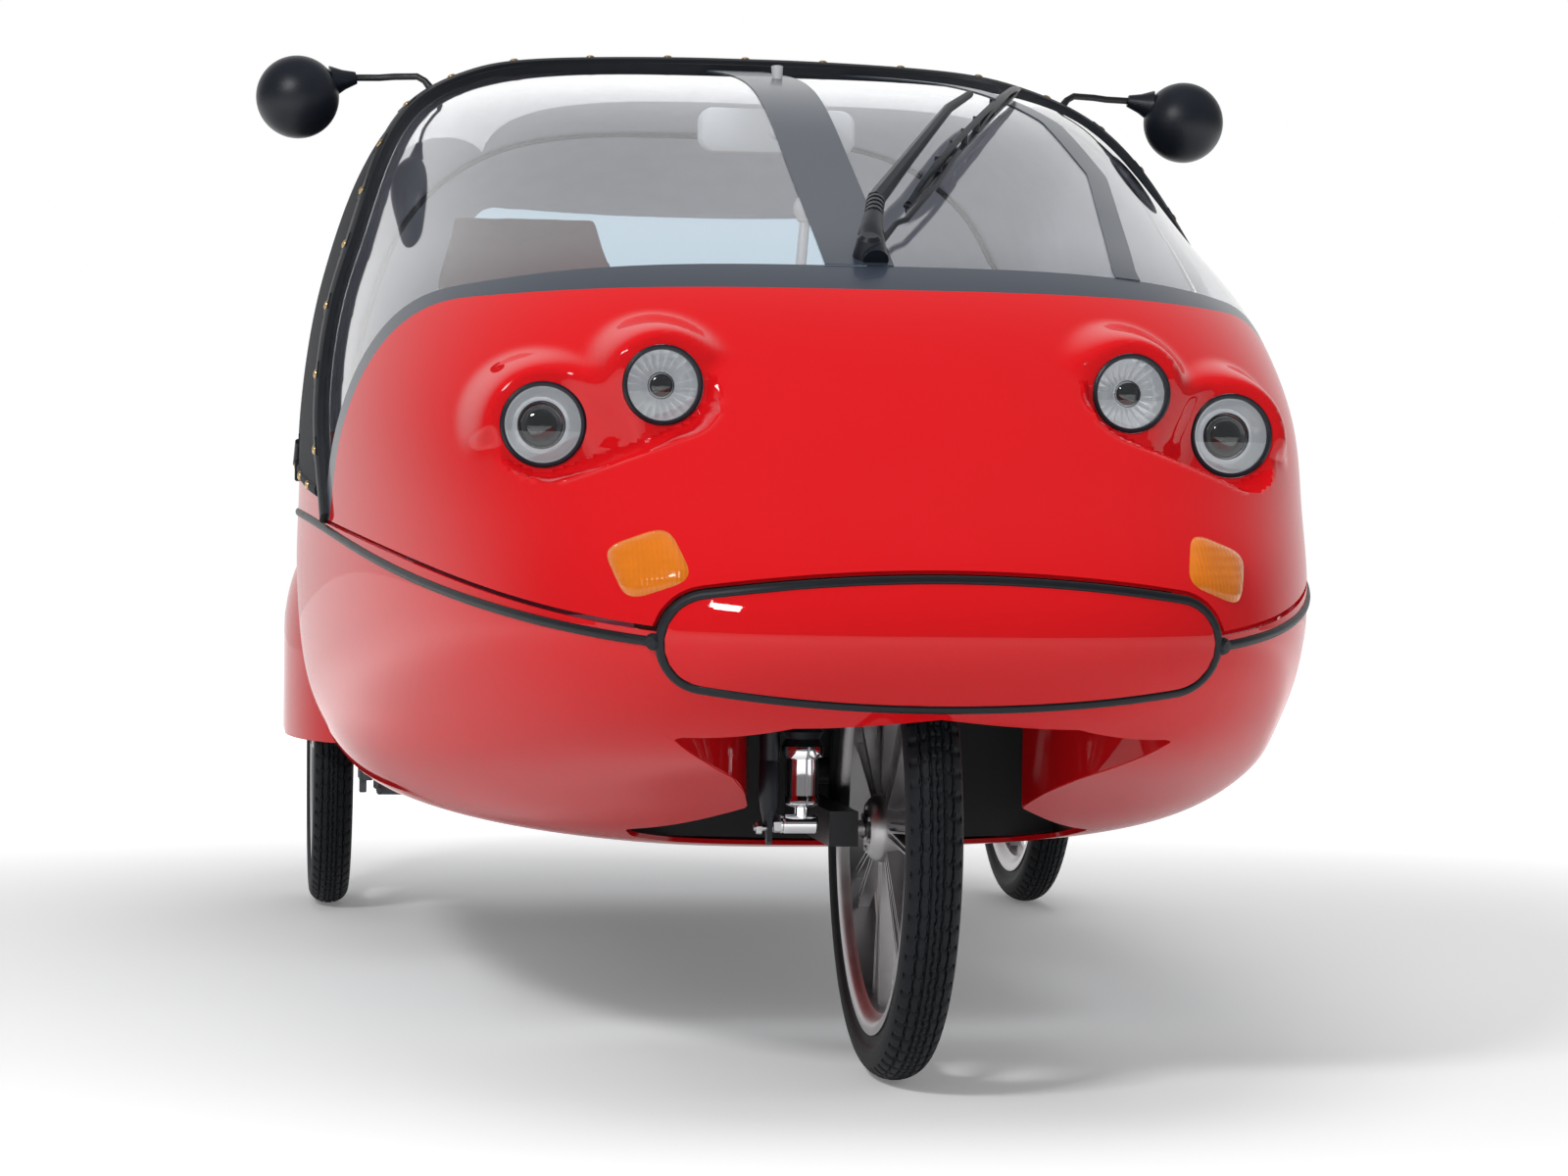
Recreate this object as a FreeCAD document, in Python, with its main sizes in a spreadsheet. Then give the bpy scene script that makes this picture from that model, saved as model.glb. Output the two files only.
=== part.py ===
# Three-wheeled light vehicle: one steered wheel in front, two wheels behind, and a canopy that tips forward.
# Millimetres. The front faces -Y, +Z is up, and the origin is on the ground under the middle of the vehicle.
import FreeCAD, Part, Sketcher
import math
import os

Vector = FreeCAD.Vector
Rotation = FreeCAD.Rotation
Placement = FreeCAD.Placement
X_AXIS = Vector(1, 0, 0)
Y_AXIS = Vector(0, 1, 0)
Z_AXIS = Vector(0, 0, 1)
LEFT_AND_RIGHT = (("left", 1), ("right", -1))

doc = FreeCAD.newDocument("three_wheeler")
sheet = doc.addObject("Spreadsheet::Sheet", "Sizes")

# Driving dimensions: name, size in mm or degrees
DIMENSIONS = (
    # Body shell
    ("half_width", 600), ("half_length", 1325), ("roof_height", 1200), ("mid_height", 550),
    ("skin_wall", 5), ("screen_wall", 4), ("soft_top_wall", 4), ("soft_top_step", 3),
    ("panel_gap", 5), ("seat_gap", 0.3), ("trim_proud", 3), ("trim_height", 9),
    ("arch_width", 26), ("arch_wall", 12),
    # Nose
    ("mouth_half_length", 269), ("mouth_half_height", 58.5), ("mouth_centre_z", 455.5),
    ("mouth_end_radius", 42), ("mouth_ring_width", 8),
    ("hinge_y", -1291), ("hinge_z", 455), ("hinge_pin_radius", 4), ("hinge_arm_x", 110),
    ("hinge_arm_wall", 8), ("hinge_arm_reach", 77), ("hinge_boss_radius", 7),
    # Wheels
    ("front_axle_y", -1000), ("rear_axle_y", 800), ("wheel_radius", 258), ("tyre_width", 57),
    ("bead_radius", 204), ("rim_half_width", 24), ("rim_wall", 4), ("rear_track_half", 527),
    ("hub_radius", 34), ("hub_half_width", 30), ("axle_radius", 8), ("axle_play", 0.05),
    ("spoke_width", 15), ("spoke_depth", 16), ("wheel_clearance", 30),
    # Steering and front suspension
    ("steer_axis_y", -1030), ("swing_arm_inner_x", 38), ("swing_arm_width", 30), ("swing_arm_height", 36),
    ("swing_pivot_y", -725), ("swing_pivot_z", 300), ("yoke_inner_radius", 272), ("yoke_plate_wall", 10),
    ("stem_radius", 14), ("stem_top_z", 640), ("damper_x", -96), ("damper_radius", 17),
    ("damper_cover_radius", 20), ("damper_foot_z", 265), ("guide_x", -128), ("guide_radius", 11),
    ("housing_radius", 312), ("housing_half_width", 240), ("housing_wall", 3),
    # Headlamps and indicators
    ("inner_lamp_x", 244), ("inner_lamp_y", -1012), ("inner_lamp_z", 709), ("inner_lamp_radius", 40),
    ("outer_lamp_x", 362), ("outer_lamp_y", -970), ("outer_lamp_z", 668), ("outer_lamp_radius", 43),
    ("indicator_x", 280), ("indicator_y", -1226), ("indicator_z", 527),
    # Mirrors
    ("mirror_x", 595), ("mirror_y", 180), ("mirror_z", 1120), ("mirror_radius", 54),
    ("mirror_foot_x", 418), ("mirror_foot_y", 133), ("mirror_foot_z", 1130), ("mirror_rod_radius", 5),
)
for row, (name, size) in enumerate(DIMENSIONS, start=1):
    sheet.set("A%d" % row, name)
    sheet.set("B%d" % row, str(size))
    sheet.setAlias("B%d" % row, name)
doc.recompute()


class Size:
    """A length that knows its value and the expression that gives it."""

    def __init__(self, value, text):
        self.value = value
        self.text = text

    @staticmethod
    def of(other):
        return other if isinstance(other, Size) else Size(float(other), repr(other))

    def __add__(self, other):
        other = Size.of(other)
        return Size(self.value + other.value, "(%s + %s)" % (self.text, other.text))

    def __radd__(self, other):
        return Size.of(other) + self

    def __sub__(self, other):
        other = Size.of(other)
        return Size(self.value - other.value, "(%s - %s)" % (self.text, other.text))

    def __rsub__(self, other):
        return Size.of(other) - self

    def __mul__(self, other):
        other = Size.of(other)
        return Size(self.value * other.value, "(%s * %s)" % (self.text, other.text))

    def __rmul__(self, other):
        return Size.of(other) * self

    def __truediv__(self, other):
        other = Size.of(other)
        return Size(self.value / other.value, "(%s / %s)" % (self.text, other.text))

    def __neg__(self):
        return Size(-self.value, "(-%s)" % self.text)

    def __float__(self):
        return self.value


class Sizes:
    """The sheet's sizes by name."""


S = Sizes()
for name, size in DIMENSIONS:
    setattr(S, name, Size(float(size), "Sizes." + name))


def bind(target, prop, size):
    """Set a property from a size, and keep it bound to the sheet."""
    size = Size.of(size)
    if "Sizes." in size.text:
        target.setExpression(prop, size.text)
    else:
        setattr(target, prop, size.value)


def place(target, x=0, y=0, z=0, axis=None, angle=0):
    """Put an object at x, y, z, turned about an axis, with each coordinate bound to the sheet."""
    rotation = Rotation(axis, angle) if axis is not None else Rotation()
    target.Placement = Placement(Vector(float(x), float(y), float(z)), rotation)
    for letter, size in (("x", x), ("y", y), ("z", z)):
        size = Size.of(size)
        if "Sizes." in size.text:
            target.setExpression("Placement.Base." + letter, size.text)
    return target


def label(target, name):
    """Name an object as a sub-part."""
    target.Label = name
    SUBPARTS.append(target)
    return target


SUBPARTS = []


def box(name, length, width, height, x, y, z):
    """A block centred on x and y, standing on z."""
    block = doc.addObject("Part::Box", name)
    bind(block, "Length", length)
    bind(block, "Width", width)
    bind(block, "Height", height)
    return place(block, Size.of(x) - Size.of(length) / 2, Size.of(y) - Size.of(width) / 2, z)


def cylinder(name, radius, height, x, y, z, axis=None, angle=0):
    """A round bar from x, y, z along +Z, or along that turned about an axis."""
    bar = doc.addObject("Part::Cylinder", name)
    bind(bar, "Radius", radius)
    bind(bar, "Height", height)
    return place(bar, x, y, z, axis, angle)


def fuse(name, pieces):
    """One solid of several that touch."""
    joined = doc.addObject("Part::MultiFuse", name)
    joined.Shapes = pieces
    joined.Refine = False
    return joined


def cut(name, base, tool):
    """A solid less another."""
    rest = doc.addObject("Part::Cut", name)
    rest.Base = base
    rest.Tool = tool
    return rest


def feature(name, shape):
    """A sub-part whose shape is worked out here from the sheet's sizes."""
    solid = doc.addObject("Part::Feature", name)
    solid.Shape = shape
    solid.Placement = Placement()
    return solid


# Body surface: waterlines of the shell. Columns: height, nose y, half width, tail y, nose fullness, widest y
WATERLINES = (
    (200, -560, 350, 900, 1.8, 100),
    (240, -850, 495, 1060, 2.1, 100),
    (290, -1010, 545, 1125, 2.3, 100),
    (350, -1205, 572, 1190, 1.8, 100),
    (405, -1290, 583, 1240, 1.7, 100),
    (460, -1325, 588, 1280, 1.7, 100),
    (520, -1297, 590, 1310, 1.8, 100),
    (600, -1195, 588, 1325, 2.1, 100),
    (700, -1060, 585, 1315, 2.5, 100),
    (820, -880, 571, 1268, 2.3, 100),
    (910, -695, 550, 1205, 1.9, 100),
    (1010, -480, 515, 1090, 1.65, 100),
    (1100, -262, 458, 905, 1.5, 130),
    (1160, -78, 378, 700, 1.6, 190),
    (1188, 50, 290, 520, 1.8, 250),
    (1200, 160, 110, 360, 2.0, 260),
)
NOSE_SQUARENESS = 3.4
TAIL_FULLNESS = 2.2
TAIL_SQUARENESS = 2.6
# Shares of the nose length, negative, and of the tail length where the arcs of a waterline meet or pass
ARC_POINTS = (-0.97, -0.87, -0.70, -0.42, -0.05, 0.3, 0.6, 0.8, 0.93)


def outline_point(row, share):
    """Point of a waterline at a share of its nose (negative) or tail length."""
    height, nose, half, tail, fullness, middle = row
    if share < 0:
        x = half * (1 - (-share) ** fullness) ** (1 / NOSE_SQUARENESS)
        return x, middle + share * (middle - nose)
    x = half * (1 - share ** TAIL_FULLNESS) ** (1 / TAIL_SQUARENESS)
    return x, middle + share * (tail - middle)


def moved_in(x, y, z, wall):
    """A point of the body surface moved in by a wall."""
    across = (S.half_width.value - wall) / S.half_width.value
    along = (S.half_length.value - wall) / S.half_length.value
    middle = S.mid_height.value
    upright = (S.roof_height.value - middle - wall) / (S.roof_height.value - middle)
    return Vector(x * across, y * along, middle + (z - middle) * upright)


def waterline(row, wall):
    """Closed wire of arcs for one waterline, moved in by a wall."""
    half = [outline_point(row, share) for share in (-1,) + ARC_POINTS + (1,)]
    right_side = [moved_in(x, y, row[0], wall) for x, y in half]
    left_side = [Vector(-p.x, p.y, p.z) for p in right_side[-2:0:-1]]
    ring = right_side[1:] + left_side + [right_side[0]]
    count = len(ring)
    arcs = []
    for index in range(0, count, 2):
        ends = [ring[(index + step) % count] for step in range(3)]
        arcs.append(Part.Arc(*ends).toShape())
    return Part.Wire(arcs)


SHELLS = {}


def shell(wall):
    """The whole body surface as one solid, moved in by a wall."""
    wall = float(wall)
    if wall not in SHELLS:
        SHELLS[wall] = Part.makeLoft([waterline(row, wall) for row in WATERLINES], True, True)
    return SHELLS[wall]


def nose_y(x, z, wall=0):
    """The y of the body's front surface at x and z."""
    for low, high in zip(WATERLINES, WATERLINES[1:]):
        if low[0] <= z <= high[0]:
            share = (z - low[0]) / (high[0] - low[0])
            nose, half, fullness, middle = [low[i] + share * (high[i] - low[i]) for i in (1, 2, 4, 5)]
    reach = (1 - min(1, abs(x) / half) ** NOSE_SQUARENESS) ** (1 / fullness)
    return middle - reach * (middle - nose) + wall


# Side view curves, y and z. A point of three values is the middle of an arc
SEAM = ((-1400, 451), (-1263, 470), (-796, 532, 0), (-330, 571), (400, 590), (1400, 596))
TRIM = ((-1400, 436), (-1263, 455), (-796, 512, 0), (-330, 560), (400, 579), (1400, 585))
SCREEN_LOW = ((-1400, 835), (-1000, 829), (-748, 812), (-603, 773, 0), (-532, 702), (-449, 625), (-380, 545))
SCREEN_HIGH = ((-1400, 895), (-1000, 886), (-697, 828), (-566, 785, 0), (-490, 703), (-413, 637), (-344, 560))
BELT = ((-500, 590), (-340, 600), (400, 668, 0), (1400, 772))
ARCH_LINE = ((-395, 560), (-70, 1000), (235, 1200))
SIDE_REACH = 900
ARCH_LOW_Z = 380
ARCH_HIGH_Z = 1240


def side_vector(y, z):
    """A point of a side view on the near face of a side prism."""
    return Vector(-SIDE_REACH, y, z)


def side_edges(points):
    """Edges through a side view's points."""
    edges = []
    start = points[0]
    index = 1
    while index < len(points):
        point = points[index]
        if len(point) == 3:
            index += 1
            end = points[index]
            edges.append(Part.Arc(side_vector(*start), side_vector(*point[:2]), side_vector(*end)).toShape())
        else:
            end = point
            edges.append(Part.makeLine(side_vector(*start), side_vector(*end)))
        start = end
        index += 1
    return edges


def side_prism(points):
    """A prism across the whole vehicle from a closed side view."""
    closed = tuple(points) + (points[0],)
    face = Part.Face(Part.Wire(side_edges(closed)))
    return face.extrude(Vector(2 * SIDE_REACH, 0, 0))


def lifted(points, rise):
    """Side view points moved up."""
    return tuple((point[0], point[1] + rise) + tuple(point[2:]) for point in points)


def below(points, rise=0):
    """All that is under a side view curve."""
    curve = lifted(points, rise)
    return side_prism(curve + ((1400, 0), (-1400, 0)))


def above(points, rise=0):
    """All that is over a side view curve."""
    curve = lifted(points, rise)
    return side_prism(curve + ((1400, 1400), (-1400, 1400)))


def between(low, high):
    """What lies between two side view curves that run the same way."""
    return side_prism(tuple(low) + tuple(reversed(high)))


ARCH_CIRCLE = Part.Arc(*[side_vector(*point) for point in ARCH_LINE]).toShape().Curve


def arch_point(z, inset):
    """A point on the canopy's rear arch in side view, moved back by an inset."""
    centre = ARCH_CIRCLE.Center
    radius = ARCH_CIRCLE.Radius - inset
    return (centre.y - math.sqrt(radius ** 2 - (z - centre.z) ** 2), z)


def arch_curve(inset):
    """The arch's side view as an arc, moved back by an inset."""
    middle = arch_point((ARCH_LOW_Z + ARCH_HIGH_Z) / 2, inset)
    return (arch_point(ARCH_LOW_Z, inset), middle + (0,), arch_point(ARCH_HIGH_Z, inset))


def ahead_of_arch(inset=0):
    """All that is in front of the arch."""
    return side_prism(arch_curve(inset) + ((-1500, ARCH_HIGH_Z), (-1500, ARCH_LOW_Z)))


def behind_arch(inset):
    """All that is behind the arch."""
    return side_prism(arch_curve(inset) + ((1500, ARCH_HIGH_Z), (1500, ARCH_LOW_Z)))


def skin(region, wall, outside=0):
    """The part of the body's skin inside a region."""
    return shell(outside).common(region).cut(shell(float(outside) + float(wall)))


def mirrored(shape):
    """A shape and its copy on the other side of the vehicle."""
    return shape.fuse(shape.mirror(Vector(0, 0, 0), X_AXIS))


def mouth_prism(margin):
    """The oval of the mouth as a prism along Y, with a margin round it."""
    length = S.mouth_half_length.value + margin
    height = S.mouth_half_height.value + margin
    end_radius = S.mouth_end_radius.value + margin
    end_x = length - end_radius
    long_radius = (end_x ** 2 + height ** 2 - end_radius ** 2) / (2 * (height - end_radius))
    slope = math.atan2(end_x, long_radius - height)
    join_x = end_x + end_radius * math.sin(slope)
    join_z = end_radius * math.cos(slope)
    middle_z = S.mouth_centre_z.value
    front_y = -1400

    def point(x, z):
        return Vector(x, front_y, middle_z + z)

    edges = (
        Part.Arc(point(-join_x, join_z), point(0, height), point(join_x, join_z)).toShape(),
        Part.Arc(point(join_x, join_z), point(length, 0), point(join_x, -join_z)).toShape(),
        Part.Arc(point(join_x, -join_z), point(0, -height), point(-join_x, -join_z)).toShape(),
        Part.Arc(point(-join_x, -join_z), point(-length, 0), point(-join_x, join_z)).toShape(),
    )
    return Part.Face(Part.Wire(edges)).extrude(Vector(0, 260, 0))


def plan_prism(points, low_z, high_z):
    """A vertical prism from a closed plan view. A point of three values is the middle of an arc."""
    edges = []
    closed = tuple(points) + (points[0],)
    start = closed[0]
    index = 1
    while index < len(closed):
        point = closed[index]
        if len(point) == 3:
            index += 1
            end = closed[index]
            ends = [Vector(p[0], p[1], low_z) for p in (start, point, end)]
            edges.append(Part.Arc(*ends).toShape())
        else:
            end = point
            edges.append(Part.makeLine(Vector(start[0], start[1], low_z), Vector(end[0], end[1], low_z)))
        start = end
        index += 1
    return Part.Face(Part.Wire(edges)).extrude(Vector(0, 0, high_z - low_z))


# Front wheel opening in plan: lip, lip corner, tusk tip and rear corner
LIP_Y = -1264
LIP_CORNER = (252, -1182)
TUSK_BEND = (178, -1085)
TUSK_TIP = (145, -960)
REAR_CORNER = (255, -800)
REAR_END_Y = -672


def front_opening():
    """Prism of the front wheel's opening in the hull."""
    left = ((LIP_CORNER[0], LIP_CORNER[1]), TUSK_BEND + (0,), TUSK_TIP, REAR_CORNER)
    right = tuple((-p[0],) + tuple(p[1:]) for p in reversed(left))
    outline = left + ((0, REAR_END_Y, 0),) + right + ((0, LIP_Y, 0),)
    return plan_prism(outline, 150, 440)


def wall_outline(inner_step, outer_step, end_step):
    """Plan of the wall from the lip corner to the tusk tip, between two sideways steps."""
    curve = (LIP_CORNER, TUSK_BEND + (0,), TUSK_TIP)
    before = (LIP_CORNER[0], LIP_CORNER[1] - end_step)
    after = (TUSK_TIP[0], TUSK_TIP[1] + end_step)
    whole = (before,) + curve + (after,) if end_step else curve
    inner = tuple((p[0] + inner_step,) + tuple(p[1:]) for p in whole)
    outer = tuple((p[0] + outer_step,) + tuple(p[1:]) for p in reversed(whole))
    return inner + outer


def opening_walls():
    """The upright walls of the hull beside the front wheel's opening."""
    wall = S.skin_wall.value
    return mirrored(plan_prism(wall_outline(0, wall, 0), 150, 425)).common(shell(wall / 2))


def tombstone(radius, half_width, foot_z):
    """A wheel housing's space: a half round top on upright sides, across the vehicle."""
    axle_y = S.front_axle_y.value
    axle_z = S.wheel_radius.value
    left = Vector(-half_width, axle_y - radius, axle_z)
    top = Vector(-half_width, axle_y, axle_z + radius)
    right = Vector(-half_width, axle_y + radius, axle_z)
    foot_right = Vector(-half_width, axle_y + radius, foot_z)
    foot_left = Vector(-half_width, axle_y - radius, foot_z)
    edges = [Part.Arc(left, top, right).toShape()]
    for start, end in ((right, foot_right), (foot_right, foot_left), (foot_left, left)):
        edges.append(Part.makeLine(start, end))
    return Part.Face(Part.Wire(edges)).extrude(Vector(2 * half_width, 0, 0))


# Rear fenders: outlines in side view at several distances from the middle
# Columns: x, front y, rear y, bottom z, top z
FENDER_SECTIONS = (
    (400, 420, 1180, 190, 600),
    (500, 445, 1155, 195, 562),
    (570, 480, 1115, 200, 520),
    (597, 560, 1040, 235, 470),
)


def fender_block(wall):
    """The bulge round a rear wheel as a solid, moved in by a wall."""
    wires = []
    for x, front, rear, low, high in FENDER_SECTIONS:
        front, rear, low, high = front + wall, rear - wall, low, high - wall
        corner = (high - low) * 0.45
        x = x - wall
        points = [
            Vector(x, front, low), Vector(x, front, high - corner),
            Vector(x, front + corner * 0.3, high - corner * 0.3), Vector(x, front + corner, high),
            Vector(x, rear - corner, high), Vector(x, rear - corner * 0.3, high - corner * 0.3),
            Vector(x, rear, high - corner), Vector(x, rear, low),
        ]
        edges = [
            Part.makeLine(points[0], points[1]),
            Part.Arc(points[1], points[2], points[3]).toShape(),
            Part.makeLine(points[3], points[4]),
            Part.Arc(points[4], points[5], points[6]).toShape(),
            Part.makeLine(points[6], points[7]),
            Part.makeLine(points[7], points[0]),
        ]
        wires.append(Part.Wire(edges))
    return Part.makeLoft(wires, True, True)


def wheel_well(margin):
    """The space of a rear wheel, with a margin."""
    radius = S.wheel_radius.value + S.wheel_clearance.value + margin
    half = S.tyre_width.value / 2 + 14 + margin
    centre = Vector(S.rear_track_half.value - half, S.rear_axle_y.value, S.wheel_radius.value)
    drum = Part.makeCylinder(radius, 2 * half, centre, X_AXIS)
    skirt = Part.makeBox(2 * half, 2 * radius, 300, Vector(centre.x, centre.y - radius, centre.z - 300))
    return drum.fuse(skirt)


# Lamps. Columns: kind, x, y, z, radius
LAMPS = (
    ("inner", S.inner_lamp_x, S.inner_lamp_y, S.inner_lamp_z, S.inner_lamp_radius),
    ("outer", S.outer_lamp_x, S.outer_lamp_y, S.outer_lamp_z, S.outer_lamp_radius),
)
POD_WALL = 9
POD_DEPTH = 78
LAMP_FIT = 0.3


def lamp_tubes(radius_step, front_step, depth):
    """A round bar along +Y at each lamp, both sides."""
    bars = []
    for kind, x, y, z, radius in LAMPS:
        for side, sign in LEFT_AND_RIGHT:
            foot = Vector(sign * x.value, y.value - front_step, z.value)
            bars.append(Part.makeCylinder(radius.value + radius_step, depth, foot, Y_AXIS))
    return bars


def all_of(shapes):
    """Several solids as one."""
    joined = shapes[0]
    return joined.fuse(list(shapes[1:])) if len(shapes) > 1 else joined


def build_skin():
    """The panels that share the body surface."""
    wall = S.skin_wall.value
    gap = S.panel_gap.value
    ring_margin = S.mouth_ring_width.value
    hull = skin(below(SEAM, -gap), wall)
    hull = hull.cut(front_opening()).cut(mouth_prism(ring_margin))
    hull = hull.fuse(opening_walls())
    wells = mirrored(wheel_well(0))
    axle_hole = Part.makeCylinder(30, 1400, Vector(-700, S.rear_axle_y.value, S.wheel_radius.value), X_AXIS)
    hull = hull.cut(wells).cut(axle_hole)
    label(feature("hull", hull), "hull")

    fender = fender_block(0).cut(fender_block(wall)).cut(shell(-S.seat_gap.value))
    fender = fender.cut(Part.makeBox(400, 1000, 400, Vector(300, 300, -190)))
    for side, sign in LEFT_AND_RIGHT:
        shape = fender if sign > 0 else fender.mirror(Vector(0, 0, 0), X_AXIS)
        label(feature("fender_" + side, shape), "fender_" + side)

    oval = mouth_prism(0)
    plate_holes = [
        Part.makeCylinder(3, 60, Vector(sign * 100, -1350, 430), Y_AXIS) for sign in (1, -1)
    ]
    panel = shell(0).common(oval).cut(shell(wall)).cut(all_of(plate_holes))
    label(feature("mouth_panel", panel), "mouth_panel")
    proud = S.trim_proud.value
    ring = shell(-proud).common(mouth_prism(ring_margin).cut(oval)).cut(shell(wall))
    label(feature("mouth_ring", ring), "mouth_ring")

    half_trim = S.trim_height.value / 2
    strip = between(lifted(TRIM, -half_trim), lifted(TRIM, half_trim))
    trim = shell(-proud).common(strip).cut(shell(0)).cut(mouth_prism(ring_margin + S.seat_gap.value))
    trim = trim.cut(mirrored(fender_block(0)))
    label(feature("seam_trim", trim), "seam_trim")

    hood_region = above(SEAM).common(below(SCREEN_LOW)).common(ahead_of_arch())
    hood = skin(hood_region, wall)
    hood = hood.cut(mouth_prism(ring_margin + gap))
    bores = all_of(lamp_tubes(LAMP_FIT + 1, 200, 200 + POD_DEPTH - POD_WALL))
    pods = all_of(lamp_tubes(POD_WALL, 8, POD_DEPTH + 8))
    hood = hood.fuse(pods).cut(bores)
    label(feature("hood", hood), "hood")

    screen_wall = S.screen_wall.value
    band_region = between(SCREEN_LOW, SCREEN_HIGH)
    band = skin(band_region.common(ahead_of_arch()).common(above(SEAM)), wall)
    label(feature("screen_band", band), "screen_band")
    screen = skin(above(SCREEN_HIGH + ((-300, 560),)).common(ahead_of_arch()), screen_wall)
    label(feature("windscreen", screen), "windscreen")
    arch_width = S.arch_width.value
    arch_region = side_prism(arch_curve(0) + tuple(reversed(arch_curve(arch_width))))
    arch = skin(arch_region.common(above(SEAM)), S.arch_wall)
    label(feature("canopy_arch", arch), "canopy_arch")

    behind = behind_arch(arch_width + gap)
    rear_region = behind.common(above(SEAM, -gap)).common(below(BELT))
    rear = skin(rear_region, wall).cut(mirrored(fender_block(0).fuse(wheel_well(0))))
    label(feature("rear_body", rear), "rear_body")
    step = S.soft_top_step.value
    window_hole = rounded_prism(330, 850, 1050, 45)
    top = skin(behind.common(above(BELT)), S.soft_top_wall, step)
    label(feature("soft_top", top.cut(window_hole)), "soft_top")
    label(feature("rear_window", top.common(window_hole)), "rear_window")


def rounded_prism(half_width, low_z, high_z, corner):
    """A prism along Y at the tail, with rounded corners."""
    block = Part.makeBox(2 * half_width, 1000, high_z - low_z, Vector(-half_width, 600, low_z))
    along = [edge for edge in block.Edges if abs(edge.tangentAt(edge.FirstParameter).y) > 0.9]
    return block.makeFillet(corner, along)


def build_front_housing():
    """Closed housing over the steered wheel."""
    wall = S.housing_wall.value
    radius = S.housing_radius.value
    half = S.housing_half_width.value
    space = tombstone(radius, half, 190)
    body = tombstone(radius + wall, half + wall, 195).cut(space)
    body = body.common(shell(S.skin_wall.value + S.seat_gap.value)).cut(walls_clearance())
    stem = Part.makeCylinder(S.stem_radius.value + 6, 200, Vector(0, S.steer_axis_y.value, 480), Z_AXIS)
    label(feature("front_housing", body.cut(stem)), "front_housing")


def walls_clearance():
    """Room in the housing for the hull's upright walls."""
    return mirrored(plan_prism(wall_outline(-1, S.skin_wall.value + 1, 4), 150, 426))


def build_rear_housings():
    """Inner linings of the rear wheel wells."""
    wall = S.housing_wall.value
    gap = S.seat_gap.value
    lining = wheel_well(-gap).cut(wheel_well(-gap - wall))
    lining = lining.common(shell(S.skin_wall.value + gap))
    lining = lining.cut(Part.makeBox(400, 1000, 400, Vector(300, 300, -190)))
    label(feature("rear_housings", mirrored(lining)), "rear_housings")


def body(name):
    """A PartDesign body, listed as a sub-part."""
    made = doc.addObject("PartDesign::Body", name)
    return label(made, name)


def origin_plane(target, role):
    """One of a body's own planes."""
    return [item for item in target.Origin.OriginFeatures if item.Role == role][0]


def sketch_on(target, name, role):
    """A new sketch on one of a body's own planes."""
    drawing = target.newObject("Sketcher::SketchObject", name)
    drawing.AttachmentSupport = [(origin_plane(target, role), "")]
    drawing.MapMode = "FlatFace"
    return drawing


def pin_point(drawing, index, end, size, direction):
    """Hold one end of a line at a size along a direction."""
    number = drawing.addConstraint(
        Sketcher.Constraint(direction, -1, 1, index, end, float(size))
    )
    size = Size.of(size)
    if "Sizes." in size.text:
        drawing.setExpression("Constraints[%d]" % number, size.text)


def outline(drawing, points):
    """A closed outline of straight lines, each corner held by sizes."""
    count = len(points)
    for index in range(count):
        start = points[index]
        end = points[(index + 1) % count]
        line = Part.LineSegment(
            Vector(float(start[0]), float(start[1]), 0), Vector(float(end[0]), float(end[1]), 0)
        )
        drawing.addGeometry(line, False)
    for index in range(count):
        drawing.addConstraint(Sketcher.Constraint("Coincident", index, 2, (index + 1) % count, 1))
    for index in range(count):
        pin_point(drawing, index, 1, points[index][0], "DistanceX")
        pin_point(drawing, index, 1, points[index][1], "DistanceY")


def circle(drawing, x, y, radius):
    """A circle held by sizes."""
    number = drawing.addGeometry(Part.Circle(Vector(float(x), float(y), 0), Z_AXIS, float(radius)), False)
    for size, direction in ((x, "DistanceX"), (y, "DistanceY")):
        pin_point(drawing, number, 3, size, direction)
    held = drawing.addConstraint(Sketcher.Constraint("Radius", number, float(radius)))
    radius = Size.of(radius)
    if "Sizes." in radius.text:
        drawing.setExpression("Constraints[%d]" % held, radius.text)


def revolve(target, name, points):
    """Turn an outline, drawn as distance along the axis and radius, about the body's X axis."""
    drawing = sketch_on(target, name + "_profile", "XY_Plane")
    outline(drawing, points)
    turned = target.newObject("PartDesign::Revolution", name)
    turned.Profile = drawing
    turned.ReferenceAxis = (drawing, ["H_Axis"])
    turned.Angle = 360
    return turned


def wheel_at(target, x, y, z):
    """Place a wheel part's axis, which runs along X."""
    return place(target, x, y, z)


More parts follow.
